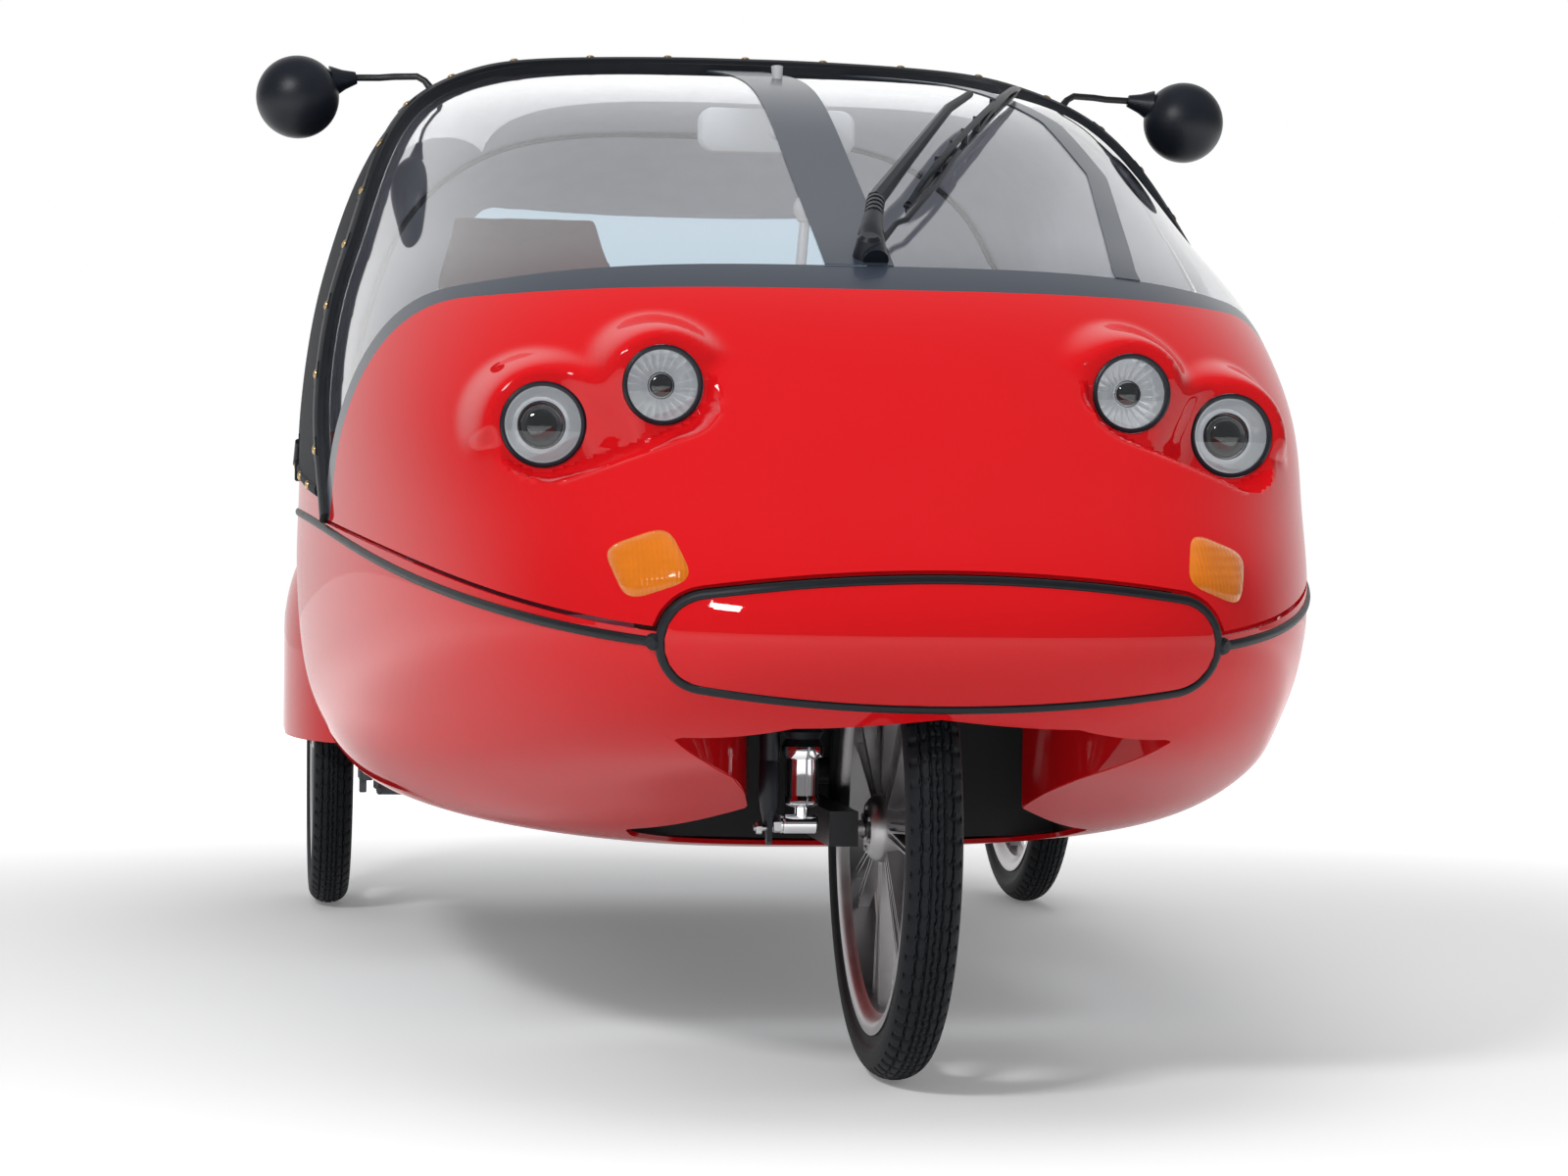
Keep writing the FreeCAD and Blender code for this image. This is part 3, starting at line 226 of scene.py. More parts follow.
def with_pods(x, y, z):
    """Body surface pulled to the lamps' planes: a brow over each lamp and one common lower edge."""
    inner, outer = LAMPS
    ax = np.abs(x)
    along_x, along_z = outer["x"] - inner["x"], outer["z"] - inner["z"]
    length = math.hypot(along_x, along_z)
    t = ((ax - inner["x"]) * along_x + (z - inner["z"]) * along_z) / length ** 2
    over = ((z - inner["z"]) * along_x - (ax - inner["x"]) * along_z) / length
    part = np.clip(t, 0, 1)
    tray_away = np.hypot(ax - inner["x"] - part * along_x, z - inner["z"] - part * along_z)
    radius = inner["radius"] + (outer["radius"] - inner["radius"]) * part
    tray = 1 - smooth_step(TRAY_FLAT, TRAY_EDGE, tray_away - radius)
    target = inner["front"] + (outer["front"] - inner["front"]) * smooth_step(0.25, 0.75, t) + 0.004
    brows = np.ones_like(y)
    for lamp in LAMPS:
        away = np.hypot(ax - lamp["x"], z - lamp["z"]) - lamp["radius"]
        brows *= smooth_step(POD_FLAT, POD_EDGE, away)
    side = smooth_step(-0.016, 0.016, over)
    whole = (tray * (1 - side) + (1 - brows) * side) * (y < 0)
    return y + whole * (target - y)


def body_grid():
    """The whole body surface as a grid: rows from the bottom to the top, columns round it."""
    shares = column_places()
    rows = all_rows()
    rings = []
    for row in rows:
        x, y = half_outline(row)
        length = np.concatenate([[0], np.cumsum(np.hypot(np.diff(x), np.diff(y)))])
        at = shares * length[-1]
        half_x, half_y = np.interp(at, length, x), np.interp(at, length, y)
        ring_x = np.concatenate([half_x, -half_x[-2:0:-1]])
        ring_y = np.concatenate([half_y, half_y[-2:0:-1]])
        rings.append(np.stack([ring_x, ring_y, np.full(len(ring_x), row[0])], axis=1))
    bottom = []
    for factor in BOTTOM_RINGS:
        ring = rings[0].copy()
        ring[:, 0] *= factor
        ring[:, 1] = BOTTOM_MIDDLE_Y + (ring[:, 1] - BOTTOM_MIDDLE_Y) * factor
        bottom.append(ring)
    grid = np.array(bottom + rings)
    x, y, z = grid[..., 0], grid[..., 1], grid[..., 2]
    return np.stack([x, with_pods(x, y, z), z], axis=2)


def grid_normals(grid):
    """Outward normals of the body grid."""
    around = np.roll(grid, -1, axis=1) - np.roll(grid, 1, axis=1)
    upward = np.gradient(grid, axis=0)
    normal = np.cross(around, upward)
    length = np.linalg.norm(normal, axis=2, keepdims=True)
    normal = normal / np.maximum(length, 1e-12)
    normal[-1] = (0, 0, 1)
    return normal


GRID = body_grid()
NORMALS = grid_normals(GRID)


def grid_mesh(rows):
    """Points, normals and faces of some rows of the body grid."""
    count = GRID.shape[1]
    index = np.arange(len(rows) * count).reshape(len(rows), count)
    low, high = index[:-1], index[1:]
    faces = np.stack([low, np.roll(low, -1, 1), np.roll(high, -1, 1), high], axis=-1).reshape(-1, 4)
    return GRID[rows].reshape(-1, 3), NORMALS[rows].reshape(-1, 3), faces.tolist()


def polygon_distance(polygon, px, py):
    """Signed distance to a closed polygon, positive outside."""
    ring = np.array(polygon)
    start, end = ring, np.roll(ring, -1, axis=0)
    best = np.full(len(px), 1e9)
    inside = np.zeros(len(px), bool)
    for (ax, ay), (bx, by) in zip(start, end):
        dx, dy = bx - ax, by - ay
        t = np.clip(((px - ax) * dx + (py - ay) * dy) / (dx * dx + dy * dy + 1e-18), 0, 1)
        best = np.minimum(best, np.hypot(px - ax - t * dx, py - ay - t * dy))
        crosses = (ay > py) != (by > py)
        inside ^= crosses & (px < ax + (py - ay) * dx / np.where(dy == 0, 1e-18, dy))
    return np.where(inside, -best, best)


def oval(margin, count=28):
    """The mouth's outline in front view, with a margin round it."""
    length, height = MOUTH_HALF_LENGTH + margin, MOUTH_HALF_HEIGHT + margin
    radius = MOUTH_END_RADIUS + margin
    end_x = length - radius
    long_radius = (end_x ** 2 + height ** 2 - radius ** 2) / (2 * (height - radius))
    slope = math.atan2(end_x, long_radius - height)
    points = []
    for turn in np.linspace(-slope, slope, count):
        points.append((long_radius * math.sin(turn), height - long_radius + long_radius * math.cos(turn)))
    for turn in np.linspace(math.pi / 2 - slope, slope - math.pi / 2, count)[1:-1]:
        points.append((end_x + radius * math.cos(turn), radius * math.sin(turn)))
    points += [(-x, -z) for x, z in points]
    return [(x, MOUTH_CENTRE_Z + z) for x, z in points]


def rounded_rectangle(half_width, low, high, corner, count=6):
    """Outline of a rectangle with round corners, in front view."""
    middle = (low + high) / 2
    half_height = (high - low) / 2
    points = []
    for sx, sz, start in ((1, 1, 0), (-1, 1, 90), (-1, -1, 180), (1, -1, 270)):
        for step in range(count + 1):
            turn = math.radians(start + 90 * step / count)
            points.append((sx * (half_width - corner) + corner * math.cos(turn),
                           middle + sz * (half_height - corner) + corner * math.sin(turn)))
    return points


def opening_plan():
    left = list(OPENING_PLAN)
    return left + [(-x, y) for x, y in reversed(left[1:-1])]


# Fields: each is positive where the surface stays

def above(line, step=0.0):
    return lambda p: p[:, 2] - line(p[:, 1]) - step


def below(line, step=0.0):
    return lambda p: line(p[:, 1]) + step - p[:, 2]


def ahead_of_arch(step=0.0):
    return lambda p: np.hypot(p[:, 1] - ARCH_CENTRE[0], p[:, 2] - ARCH_CENTRE[1]) - ARCH_RADIUS - step


def behind_arch(step=0.0):
    return lambda p: ARCH_RADIUS - step - np.hypot(p[:, 1] - ARCH_CENTRE[0], p[:, 2] - ARCH_CENTRE[1])


def outside_mouth(margin):
    outline = oval(margin)
    return lambda p: np.where(p[:, 1] < -1.0, polygon_distance(outline, p[:, 0], p[:, 2]), 1.0)


def inside_mouth(margin):
    outline = oval(margin)
    return lambda p: np.where(p[:, 1] < -1.0, -polygon_distance(outline, p[:, 0], p[:, 2]), -1.0)


def outside_opening(p):
    plan = polygon_distance(opening_plan(), p[:, 0], p[:, 1])
    return np.maximum(plan, (p[:, 2] - OPENING_TOP_Z))


def outside_well(p):
    away = np.hypot(p[:, 1] - WHEEL_PLACE[0], p[:, 2] - WHEEL_PLACE[1])
    return np.maximum(WELL_X[0] - np.abs(p[:, 0]), away - WELL_RADIUS)


def outside_lamps(p):
    best = np.full(len(p), 1.0)
    for lamp in LAMPS:
        away = np.hypot(np.abs(p[:, 0]) - lamp["x"], p[:, 2] - lamp["z"]) - lamp["radius"] - 0.0015
        best = np.minimum(best, away)
    return np.where(p[:, 1] < 0, best, 1.0)


def outside_circle(x, z, radius):
    return lambda p: np.where(p[:, 1] < 0, np.hypot(p[:, 0] - x, p[:, 2] - z) - radius, 1.0)


def window_field(sign):
    outline = rounded_rectangle(REAR_WINDOW_HALF_WIDTH, REAR_WINDOW_Z[0], REAR_WINDOW_Z[1],
                                REAR_WINDOW_CORNER)
    return lambda p: np.where(p[:, 1] > 0.6, sign * polygon_distance(outline, p[:, 0], p[:, 2]), sign)


def kept(points, normals, faces, field):
    """The part of a mesh where a field is positive, cut along the field's zero line."""
    values = np.asarray(field(points), float)
    values = np.where(np.abs(values) < 1e-8, 1e-8, values)
    inside = (values > 0).tolist()
    new_points, new_normals, new_faces, cache = [], [], [], {}

    def crossing(a, b):
        key = (a, b) if a < b else (b, a)
        if key not in cache:
            t = values[key[0]] / (values[key[0]] - values[key[1]])
            cache[key] = len(points) + len(new_points)
            new_points.append(points[key[0]] * (1 - t) + points[key[1]] * t)
            new_normals.append(normals[key[0]] * (1 - t) + normals[key[1]] * t)
        return cache[key]

    for face in faces:
        flags = [inside[i] for i in face]
        if all(flags):
            new_faces.append(face)
        elif any(flags):
            cut = []
            for k, here in enumerate(face):
                after = face[(k + 1) % len(face)]
                if inside[here]:
                    cut.append(here)
                if inside[here] != inside[after]:
                    cut.append(crossing(here, after))
            if len(cut) > 2:
                new_faces.append(cut)
    if new_points:
        points = np.concatenate([points, new_points])
        normals = np.concatenate([normals, new_normals])
    used = sorted({i for face in new_faces for i in face})
    place = {old: new for new, old in enumerate(used)}
    return points[used], normals[used], [[place[i] for i in face] for face in new_faces]


def region(fields, rows=None):
    """Part of the body surface where every field is positive."""
    rows = list(range(len(BOTTOM_RINGS), GRID.shape[0])) if rows is None else rows
    points, normals, faces = grid_mesh(rows)
    for field in fields:
        points, normals, faces = kept(points, normals, faces, field)
    return points, normals, faces


def rim_edges(faces):
    """Directed edges that only one face has."""
    edges = {}
    for face in faces:
        for k, a in enumerate(face):
            edges[(a, face[(k + 1) % len(face)])] = True
    return [edge for edge in edges if (edge[1], edge[0]) not in edges]


def thick(points, normals, faces, wall, proud=0.0):
    """A surface given a wall inwards, after a step outwards."""
    unit = normals / np.linalg.norm(normals, axis=1, keepdims=True)
    outer = points + unit * proud
    inner = points + unit * (proud - wall)
    count = len(points)
    inner_faces = [[i + count for i in reversed(face)] for face in faces]
    rim = [[b, a, a + count, b + count] for a, b in rim_edges(faces)]
    return np.concatenate([outer, inner]), [list(face) for face in faces] + inner_faces + rim


# Making pieces

def new_piece(name, points, faces, material, body, replaces=(), slot=None, sharp=35):
    """A mesh piece that rides on a CAD body and may stand for CAD nodes."""
    mesh = bpy.data.meshes.new(name)
    mesh.from_pydata([tuple(p) for p in points], [], faces)
    mesh.validate()
    mesh.polygons.foreach_set("use_smooth", [True] * len(mesh.polygons))
    mesh.set_sharp_from_angle(angle=math.radians(sharp))
    mesh.materials.append(material)
    piece = bpy.data.objects.new(name, mesh)
    bpy.context.scene.collection.objects.link(piece)
    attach(piece, body)
    if replaces:
        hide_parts(*replaces)
    return piece


def sunk_at_arch(points, normals):
    """Screen points set in a little where the arch seal stands over them."""
    away = ahead_of_arch()(points)
    unit = normals / np.linalg.norm(normals, axis=1, keepdims=True)
    return points - unit * (ARCH_SINK * (1 - smooth_step(0.0, ARCH_SINK_REACH, away)))[:, None]


def panel(name, fields, material, body, replaces=(), slot=None, wall=SKIN_WALL, proud=0.0, rows=None,
          sunk=False):
    points, normals, faces = region(fields, rows)
    if sunk:
        points = sunk_at_arch(points, normals)
    points, faces = thick(points, normals, faces, wall, proud)
    return new_piece(name, points, faces, material, body, replaces, slot)


def joined(shapes):
    """Several (points, faces) shapes as one."""
    points, faces, start = [], [], 0
    for shape_points, shape_faces in shapes:
        points.extend(map(tuple, shape_points))
        faces.extend([i + start for i in face] for face in shape_faces)
        start = len(points)
    return points, faces


def bands(rows, count, closed=False):
    """Faces between each ring of points and the next."""
    faces = []
    for row in range(rows if closed else rows - 1):
        here, after = row * count, (row + 1) % rows * count
        faces += [[here + k, here + (k + 1) % count, after + (k + 1) % count,
                   after + k] for k in range(count)]
    return faces


def caps(rows, count):
    """Faces that close the first and the last ring of points."""
    return [list(range(count))[::-1], list(range((rows - 1) * count, rows * count))]


def lathe(profile, centre, axis, count=48):
    """A shape turned round an axis. The profile is (radius, place along the axis) points."""
    axis = Vector(axis).normalized()
    side = axis.orthogonal().normalized()
    other = axis.cross(side)
    centre = Vector(centre)
    points = []
    for radius, along in profile:
        for k in range(count):
            turn = 2 * math.pi * k / count
            points.append(centre + axis * along + (side * math.cos(turn) + other * math.sin(turn)) * radius)
    faces = bands(len(profile), count)
    if profile[0][0] > 1e-6 and profile[0] != profile[-1]:
        faces += caps(len(profile), count)
    return points, faces


def tube(path, radius, count=12):
    """A round bar along a path. The radius may be a list, one for each point."""
    path = [Vector(p) for p in path]
    radii = radius if isinstance(radius, (list, tuple)) else [radius] * len(path)
    points = []
    side = None
    for k, here in enumerate(path):
        along = (path[min(k + 1, len(path) - 1)] - path[max(k - 1, 0)]).normalized()
        side = along.orthogonal() if side is None else side - along * side.dot(along)
        side.normalize()
        other = along.cross(side)
        for step in range(count):
            turn = 2 * math.pi * step / count
            points.append(here + (side * math.cos(turn) + other * math.sin(turn)) * radii[k])
    return points, bands(len(path), count) + caps(len(path), count)


def bead(path, normals, profile, closed=False):
    """A profile swept along a path on the body. Profile points are (across, proud)."""
    total, count = len(path), len(profile)
    points = []
    for k in range(total):
        here = Vector(path[k])
        before = Vector(path[k - 1]) if k or closed else here
        after = Vector(path[(k + 1) % total]) if k < total - 1 or closed else here
        along = (after - before).normalized()
        normal = Vector(normals[k]).normalized()
        across = normal.cross(along).normalized()
        points += [here + across * side + normal * proud for side, proud in profile]
    faces = [[a, d, c, b] for a, b, c, d in bands(total, count, closed)]
    if not closed:
        faces += [cap[::-1] for cap in caps(total, count)]
    return points, faces


def round_profile(half_width, proud, base=-0.002):
    """Half-round bead profile that stands on the surface."""
    points = [(-half_width, base)]
    for turn in np.linspace(math.pi, 0, 9):
        points.append((half_width * math.cos(turn), proud * math.sin(turn)))
    return points + [(half_width, base)]


def box_shape(size, centre, turn=None):
    """A block with its edges eased."""
    sx, sy, sz = (s / 2 for s in size)
    ease = min(sx, sy, sz) * 0.25
    outline = [(-1, -1), (1, -1), (1, 1), (-1, 1)]
    points = []
    for z, inset in ((-sz, ease), (-sz + ease, 0), (sz - ease, 0), (sz, ease)):
        for px, py in outline:
            x, y = px * (sx - inset), py * (sy - inset)
            points.append((x - px * ease, y, z))
            points.append((x, y - py * ease, z))
    order = [0, 1, 3, 2, 4, 5, 7, 6]
    faces = [[order[k] for k in range(7, -1, -1)]]
    for row in range(3):
        for k in range(8):
            a, b = order[k] + row * 8, order[(k + 1) % 8] + row * 8
            faces.append([a, b, b + 8, a + 8])
    faces.append([order[k] + 24 for k in range(8)])
    turn = turn or Matrix.Identity(3)
    return [turn @ Vector(p) + Vector(centre) for p in points], faces


def on_body(x, z, tail=False):
    """Point and outward normal of the body at a place in front view, on the nose or the tail."""
    row_z = GRID[len(BOTTOM_RINGS):, 0, 2]
    row = np.interp(z, row_z, np.arange(len(row_z))) + len(BOTTOM_RINGS)
    low = int(min(row, GRID.shape[0] - 2))
    share = row - low
    ring = GRID[low] * (1 - share) + GRID[low + 1] * share
    normal = NORMALS[low] * (1 - share) + NORMALS[low + 1] * share
    half = ring.shape[0] // 2 + 1
    widest = int(np.argmax(ring[:half, 0]))
    part = slice(widest, half) if tail else slice(0, widest + 1)
    xs, order = ring[:half][part][:, 0], np.arange(half)[part]
    if tail:
        xs, order = xs[::-1], order[::-1]
    column = np.interp(abs(x), xs, order)
    cell = int(min(column, half - 2))
    t = column - cell
    point = ring[cell] * (1 - t) + ring[cell + 1] * t
    out = normal[cell] * (1 - t) + normal[cell + 1] * t
    sign = 1 if x >= 0 else -1
    return Vector((sign * point[0], point[1], point[2])), Vector((sign * out[0], out[1], out[2])).normalized()


def traced(field, columns=None):
    """Where the columns of the body grid cross a field's zero line, with the normals there."""
    values = field(GRID.reshape(-1, 3)).reshape(GRID.shape[:2])
    columns = range(GRID.shape[1]) if columns is None else columns
    path, normals = [], []
    for column in columns:
        line = values[len(BOTTOM_RINGS):, column]
        change = np.nonzero(np.sign(line[:-1]) != np.sign(line[1:]))[0]
        if len(change) == 0:
            continue
        row = int(change[0])
        t = line[row] / (line[row] - line[row + 1])
        row += len(BOTTOM_RINGS)
        path.append(GRID[row, column] * (1 - t) + GRID[row + 1, column] * t)
        normals.append(NORMALS[row, column] * (1 - t) + NORMALS[row + 1, column] * t)
    return np.array(path), np.array(normals)


# Materials

def new_material(name):
    material = bpy.data.materials.new(name)
    material.use_nodes = True
    return material, material.node_tree


def add_node(tree, kind, values=(), feeds=()):
    """A new shader node, with some inputs set and others fed by another node's output."""
    node = tree.nodes.new(kind)
    for socket, value in dict(values).items():
        node.inputs[socket].default_value = value
    for socket, source in dict(feeds).items():
        tree.links.new(source, node.inputs[socket])
    return node


def combined(tree, operation, first, second):
    """Two values put together by a maths node."""
    node = add_node(tree, "ShaderNodeMath", (), {0: first, 1: second})
    node.operation = operation
    return node.outputs["Value"]


def relief(tree, height, strength, depth):
    """Fine relief on a material's surface."""
    values = {"Strength": strength, "Distance": depth}
    bump = add_node(tree, "ShaderNodeBump", values, {"Height": height})
    tree.links.new(bump.outputs["Normal"], tree.nodes["Principled BSDF"].inputs["Normal"])


def blended(tree, share, first, second):
    """A material's surface as a mix of two shaders."""
    mix = add_node(tree, "ShaderNodeMixShader", (), {"Fac": share, 1: first, 2: second})
    tree.links.new(mix.outputs["Shader"], tree.nodes["Material Output"].inputs["Surface"])


def waves(tree, scales, distortion):
    """Fine waves along X and along Z."""
    place = add_node(tree, "ShaderNodeTexCoord").outputs["Object"]
    outputs = []
    for direction, scale in zip("XZ", scales):
        values = {"Scale": scale, "Distortion": distortion}
        wave = add_node(tree, "ShaderNodeTexWave", values, {"Vector": place})
        wave.bands_direction = direction
        outputs.append(wave.outputs["Fac"])
    return outputs


def haze(tree, scale, low, high):
    """Roughness that changes a little over a clear surface."""
    place = add_node(tree, "ShaderNodeTexCoord").outputs["Object"]
    cloud = add_node(tree, "ShaderNodeTexNoise", {"Scale": scale}, {"Vector": place}).outputs["Fac"]
    spread = add_node(tree, "ShaderNodeMapRange", {"To Min": low, "To Max": high}, {"Value": cloud})
    return spread.outputs["Result"]


def finish_of(name, color, rough, metal=0.0, coat=0.0, noise=60.0, vary=0.06, rough_vary=0.05, bump=0.0,
              bump_scale=400.0, sheen=0.0, specular=0.5):
    """A plain finish with small colour and roughness changes and a fine relief."""
    material, tree = new_material(name)
    shader = tree.nodes["Principled BSDF"]
    for socket, value in (("Metallic", metal), ("Coat Weight", coat), ("Coat Roughness", COAT_ROUGHNESS),
                          ("Sheen Weight", sheen), ("Specular IOR Level", specular)):
        shader.inputs[socket].default_value = value
    place = add_node(tree, "ShaderNodeTexCoord").outputs["Object"]
    cloud = add_node(tree, "ShaderNodeTexNoise", {"Scale": noise, "Detail": 4},
                     {"Vector": place}).outputs["Fac"]
    mix = tree.nodes.new("ShaderNodeMix")
    mix.data_type = "RGBA"
    mix.inputs[6].default_value = (*[c * (1 - vary) for c in color], 1)
    mix.inputs[7].default_value = (*[min(c * (1 + vary), 1) for c in color], 1)
    tree.links.new(cloud, mix.inputs["Factor"])
    tree.links.new(mix.outputs[2], shader.inputs["Base Color"])
    limits = {"To Min": max(rough - rough_vary, 0.01), "To Max": rough + rough_vary}
    spread = add_node(tree, "ShaderNodeMapRange", limits, {"Value": cloud})
    tree.links.new(spread.outputs["Result"], shader.inputs["Roughness"])
    if bump:
        grain = add_node(tree, "ShaderNodeTexNoise", {"Scale": bump_scale, "Detail": 3}, {"Vector": place})
        relief(tree, grain.outputs["Fac"], bump, 0.001)
    return material


def woven(name, color, scale, strength, sheen):
    """Woven cloth: two crossed waves for the threads over a soft colour change."""
    material = finish_of(name, color, 0.9, noise=25, vary=0.10, sheen=sheen, specular=0.2)
    tree = material.node_tree
    relief(tree, combined(tree, "MULTIPLY", *waves(tree, (scale, scale), 0.4)), strength, 0.0006)
    return material


def ribbed_lens(name, color):
    """Ribbed coloured lens."""
    material = finish_of(name, color, 0.22, coat=0.5, noise=30.0, vary=0.16, rough_vary=0.03, specular=0.2)
    tree = material.node_tree
    relief(tree, combined(tree, "ADD", *waves(tree, (70.0, 35.0), 0.0)), 0.35, 0.001)
    return material


def clear(name, color, ior=1.49, shadow=(0.92, 0.94, 0.96)):
    """Clear glass or plastic that lets the light through to what is behind it."""
    material, tree = new_material(name)
    shader = tree.nodes["Principled BSDF"]
    shader.inputs["Base Color"].default_value = (*color, 1)
    shader.inputs["Transmission Weight"].default_value = 1.0
    shader.inputs["IOR"].default_value = ior
    tree.links.new(haze(tree, 5, 0.0, 0.01), shader.inputs["Roughness"])
    through = add_node(tree, "ShaderNodeBsdfTransparent", {"Color": (*shadow, 1)})
    ray = add_node(tree, "ShaderNodeLightPath").outputs
    passes = combined(tree, "MAXIMUM", ray["Is Shadow Ray"], ray["Is Diffuse Ray"])
    blended(tree, passes, shader.outputs["BSDF"], through.outputs["BSDF"])
    return material


def thin_glass(name, color):
    """A thin clear cover: straight through, with a sharp reflection that grows towards its edge."""
    material, tree = new_material(name)
    tree.nodes.remove(tree.nodes["Principled BSDF"])
    through = add_node(tree, "ShaderNodeBsdfTransparent", {"Color": (*color, 1)})
    shine = add_node(tree, "ShaderNodeBsdfGlossy", {"Color": GLASS_SHINE},
                     {"Roughness": haze(tree, 30, 0.01, 0.03)})
    edge = add_node(tree, "ShaderNodeFresnel", {"IOR": 1.45})
    blended(tree, edge.outputs["Fac"], through.outputs["BSDF"], shine.outputs["BSDF"])
    return material


COAT_ROUGHNESS = 0.03
GLASS_SHINE = (0.9, 0.9, 0.9, 1)
# Painted light: colour and strength of a faint emission that brightens the lamp reflectors, though the lamps
# are not lit
REFLECTOR_PAINTED_LIGHT = (0.90, 0.93, 1.0, 1)
REFLECTOR_PAINTED_LIGHT_STRENGTH = 0.16
PAINT = finish_of("paint_red", (0.74, 0.007, 0.011), 0.30, coat=0.6, noise=3.0, vary=0.03, rough_vary=0.02,
                  specular=0.0)
SLATE = finish_of("band_slate", (0.040, 0.052, 0.074), 0.30, coat=0.2, noise=8.0, vary=0.08, bump=0.03,
                  specular=0.35)
RUBBER = finish_of("rubber_black", (0.008, 0.010, 0.014), 0.45, noise=40.0, vary=0.25, bump=0.25,
                   bump_scale=700.0,
                   specular=0.30)
TYRE = finish_of("tyre_rubber", (0.009, 0.011, 0.014), 0.60, noise=30.0, vary=0.30, bump=0.35,
                 bump_scale=500.0,
                 specular=0.22)
PLASTIC = finish_of("plastic_black", (0.010, 0.013, 0.020), 0.36, noise=50.0, vary=0.15, bump=0.22,
                    bump_scale=900.0, specular=0.35)
SATIN = finish_of("steel_black", (0.016, 0.017, 0.020), 0.36, metal=0.2, noise=60.0, vary=0.25, bump=0.08)
STEEL = finish_of("steel_plain", (0.55, 0.55, 0.57), 0.30, metal=1.0, noise=90.0, vary=0.12, rough_vary=0.10,
                  bump=0.05)
CHROME = finish_of("chrome", (0.80, 0.80, 0.82), 0.06, metal=1.0, noise=30.0, vary=0.04, rough_vary=0.03)
SILVER_WITH_PAINTED_LIGHT = finish_of("lamp_silver", (0.90, 0.91, 0.93), 0.10, metal=0.35, noise=60.0, vary=0.10,
                   rough_vary=0.05)
# Painted light: the reflector silver glows faintly, to look brighter than the studio lights alone make it
SILVER_WITH_PAINTED_LIGHT.node_tree.nodes["Principled BSDF"].inputs["Emission Color"].default_value = REFLECTOR_PAINTED_LIGHT
SILVER_WITH_PAINTED_LIGHT.node_tree.nodes["Principled BSDF"].inputs["Emission Strength"].default_value = REFLECTOR_PAINTED_LIGHT_STRENGTH
ALLOY = finish_of("cast_alloy", (0.46, 0.45, 0.46), 0.34, metal=1.0, noise=45.0, vary=0.14, rough_vary=0.08,
                  bump=0.12, bump_scale=650.0)
HEADLINER = woven("headliner_grey", (0.60, 0.63, 0.71), 320.0, strength=0.25, sheen=0.0)
TOP_CLOTH = woven("top_cloth_black", (0.018, 0.020, 0.024), 420.0, strength=0.6, sheen=0.08)
SEAT_CLOTH = woven("seat_cloth_burgundy", (0.15, 0.016, 0.028), 300.0, strength=0.5, sheen=0.1)
LIGHT_PLASTIC = finish_of("plastic_light", (0.62, 0.62, 0.64), 0.40, noise=20.0, vary=0.05, bump=0.08)
SCREEN = clear("screen_clear", (0.93, 0.95, 0.97))
WINDOW = clear("window_blue", (0.55, 0.70, 0.80), ior=1.2, shadow=(0.75, 0.86, 0.92))
LENS = thin_glass("lens_clear", (0.97, 0.98, 0.98))
DARK_LENS = finish_of("lens_dark", (0.006, 0.007, 0.010), 0.03, coat=1.0, noise=8.0, vary=0.2,
                      rough_vary=0.01)
BRASS = finish_of("snap_brass", (0.62, 0.42, 0.20), 0.30, metal=1.0, noise=200.0, vary=0.15)
BLACK_PAINT = finish_of("inner_black", (0.010, 0.010, 0.011), 0.7, noise=20.0, vary=0.3, bump=0.1)
CASE = finish_of("case_grey", (0.10, 0.11, 0.12), 0.55, noise=20.0, vary=0.15, bump=0.15)
AMBER = ribbed_lens("lens_amber", (0.78, 0.20, 0.006))
RED_LENS = ribbed_lens("lens_red", (0.55, 0.01, 0.012))


# Body panels

def fender_shape():
    """Skin over the left rear wheel, in rings from its middle to its edge, with its inner side."""
    turns = np.linspace(math.pi, 0, 57)
    reach = FENDER_OUTER_X - FENDER_INNER_X
    rings = []
    for width in np.concatenate([np.linspace(0.985, 0.80, 12), np.linspace(0.78, 0.0, 20)]):
        share = (1 - width ** (1 / 0.30)) ** (1 / 2.4)
        along = np.sign(np.cos(turns)) * np.abs(np.cos(turns)) ** (2 / 2.6) * share
        up = np.sin(turns) ** (2 / 2.2) * share
        x = FENDER_INNER_X + reach * width
        arch = [(x, FENDER_MIDDLE[0] + FENDER_HALF_LENGTH * a, FENDER_MIDDLE[1] + FENDER_HALF_HEIGHT * u)
                for a, u in zip(along, up)]
        drop = np.linspace(FENDER_LOW_Z, FENDER_MIDDLE[1], 8)[:-1]
        front = [(x, arch[0][1], z) for z in drop]
        rear = [(x, arch[-1][1], z) for z in drop[::-1]]
        rings.append(front + arch + rear)
    grid = np.array(rings)
    count = grid.shape[1]
    across = np.gradient(grid, axis=1)
    outward = np.gradient(grid, axis=0)
    normals = np.cross(across, outward).reshape(-1, 3)
    normals[np.linalg.norm(normals, axis=1) < 1e-12] = (1, 0, 0)
    if normals[5 * count + count // 2][0] < 0:
        normals = -normals
    faces = []
    for row in range(len(rings) - 1):
        for k in range(count - 1):
            a = row * count + k
            faces.append([a, a + count, a + count + 1, a + 1])
    faces.append(list(range(count)))
    points, faces = thick(grid.reshape(-1, 3), normals, faces, 0.004)
    side = [(FENDER_INNER_X, y, z) for _, y, z in rings[-1]]
    plate = [(FENDER_INNER_X + 0.003, y, z) for _, y, z in rings[-1]]
    faces_side = [list(range(count))[::-1], list(range(count, 2 * count))]
    faces_side += [[k, (k + 1) % count, (k + 1) % count + count, k + count] for k in range(count)]
    return joined([(points, faces), (side + plate, faces_side)])


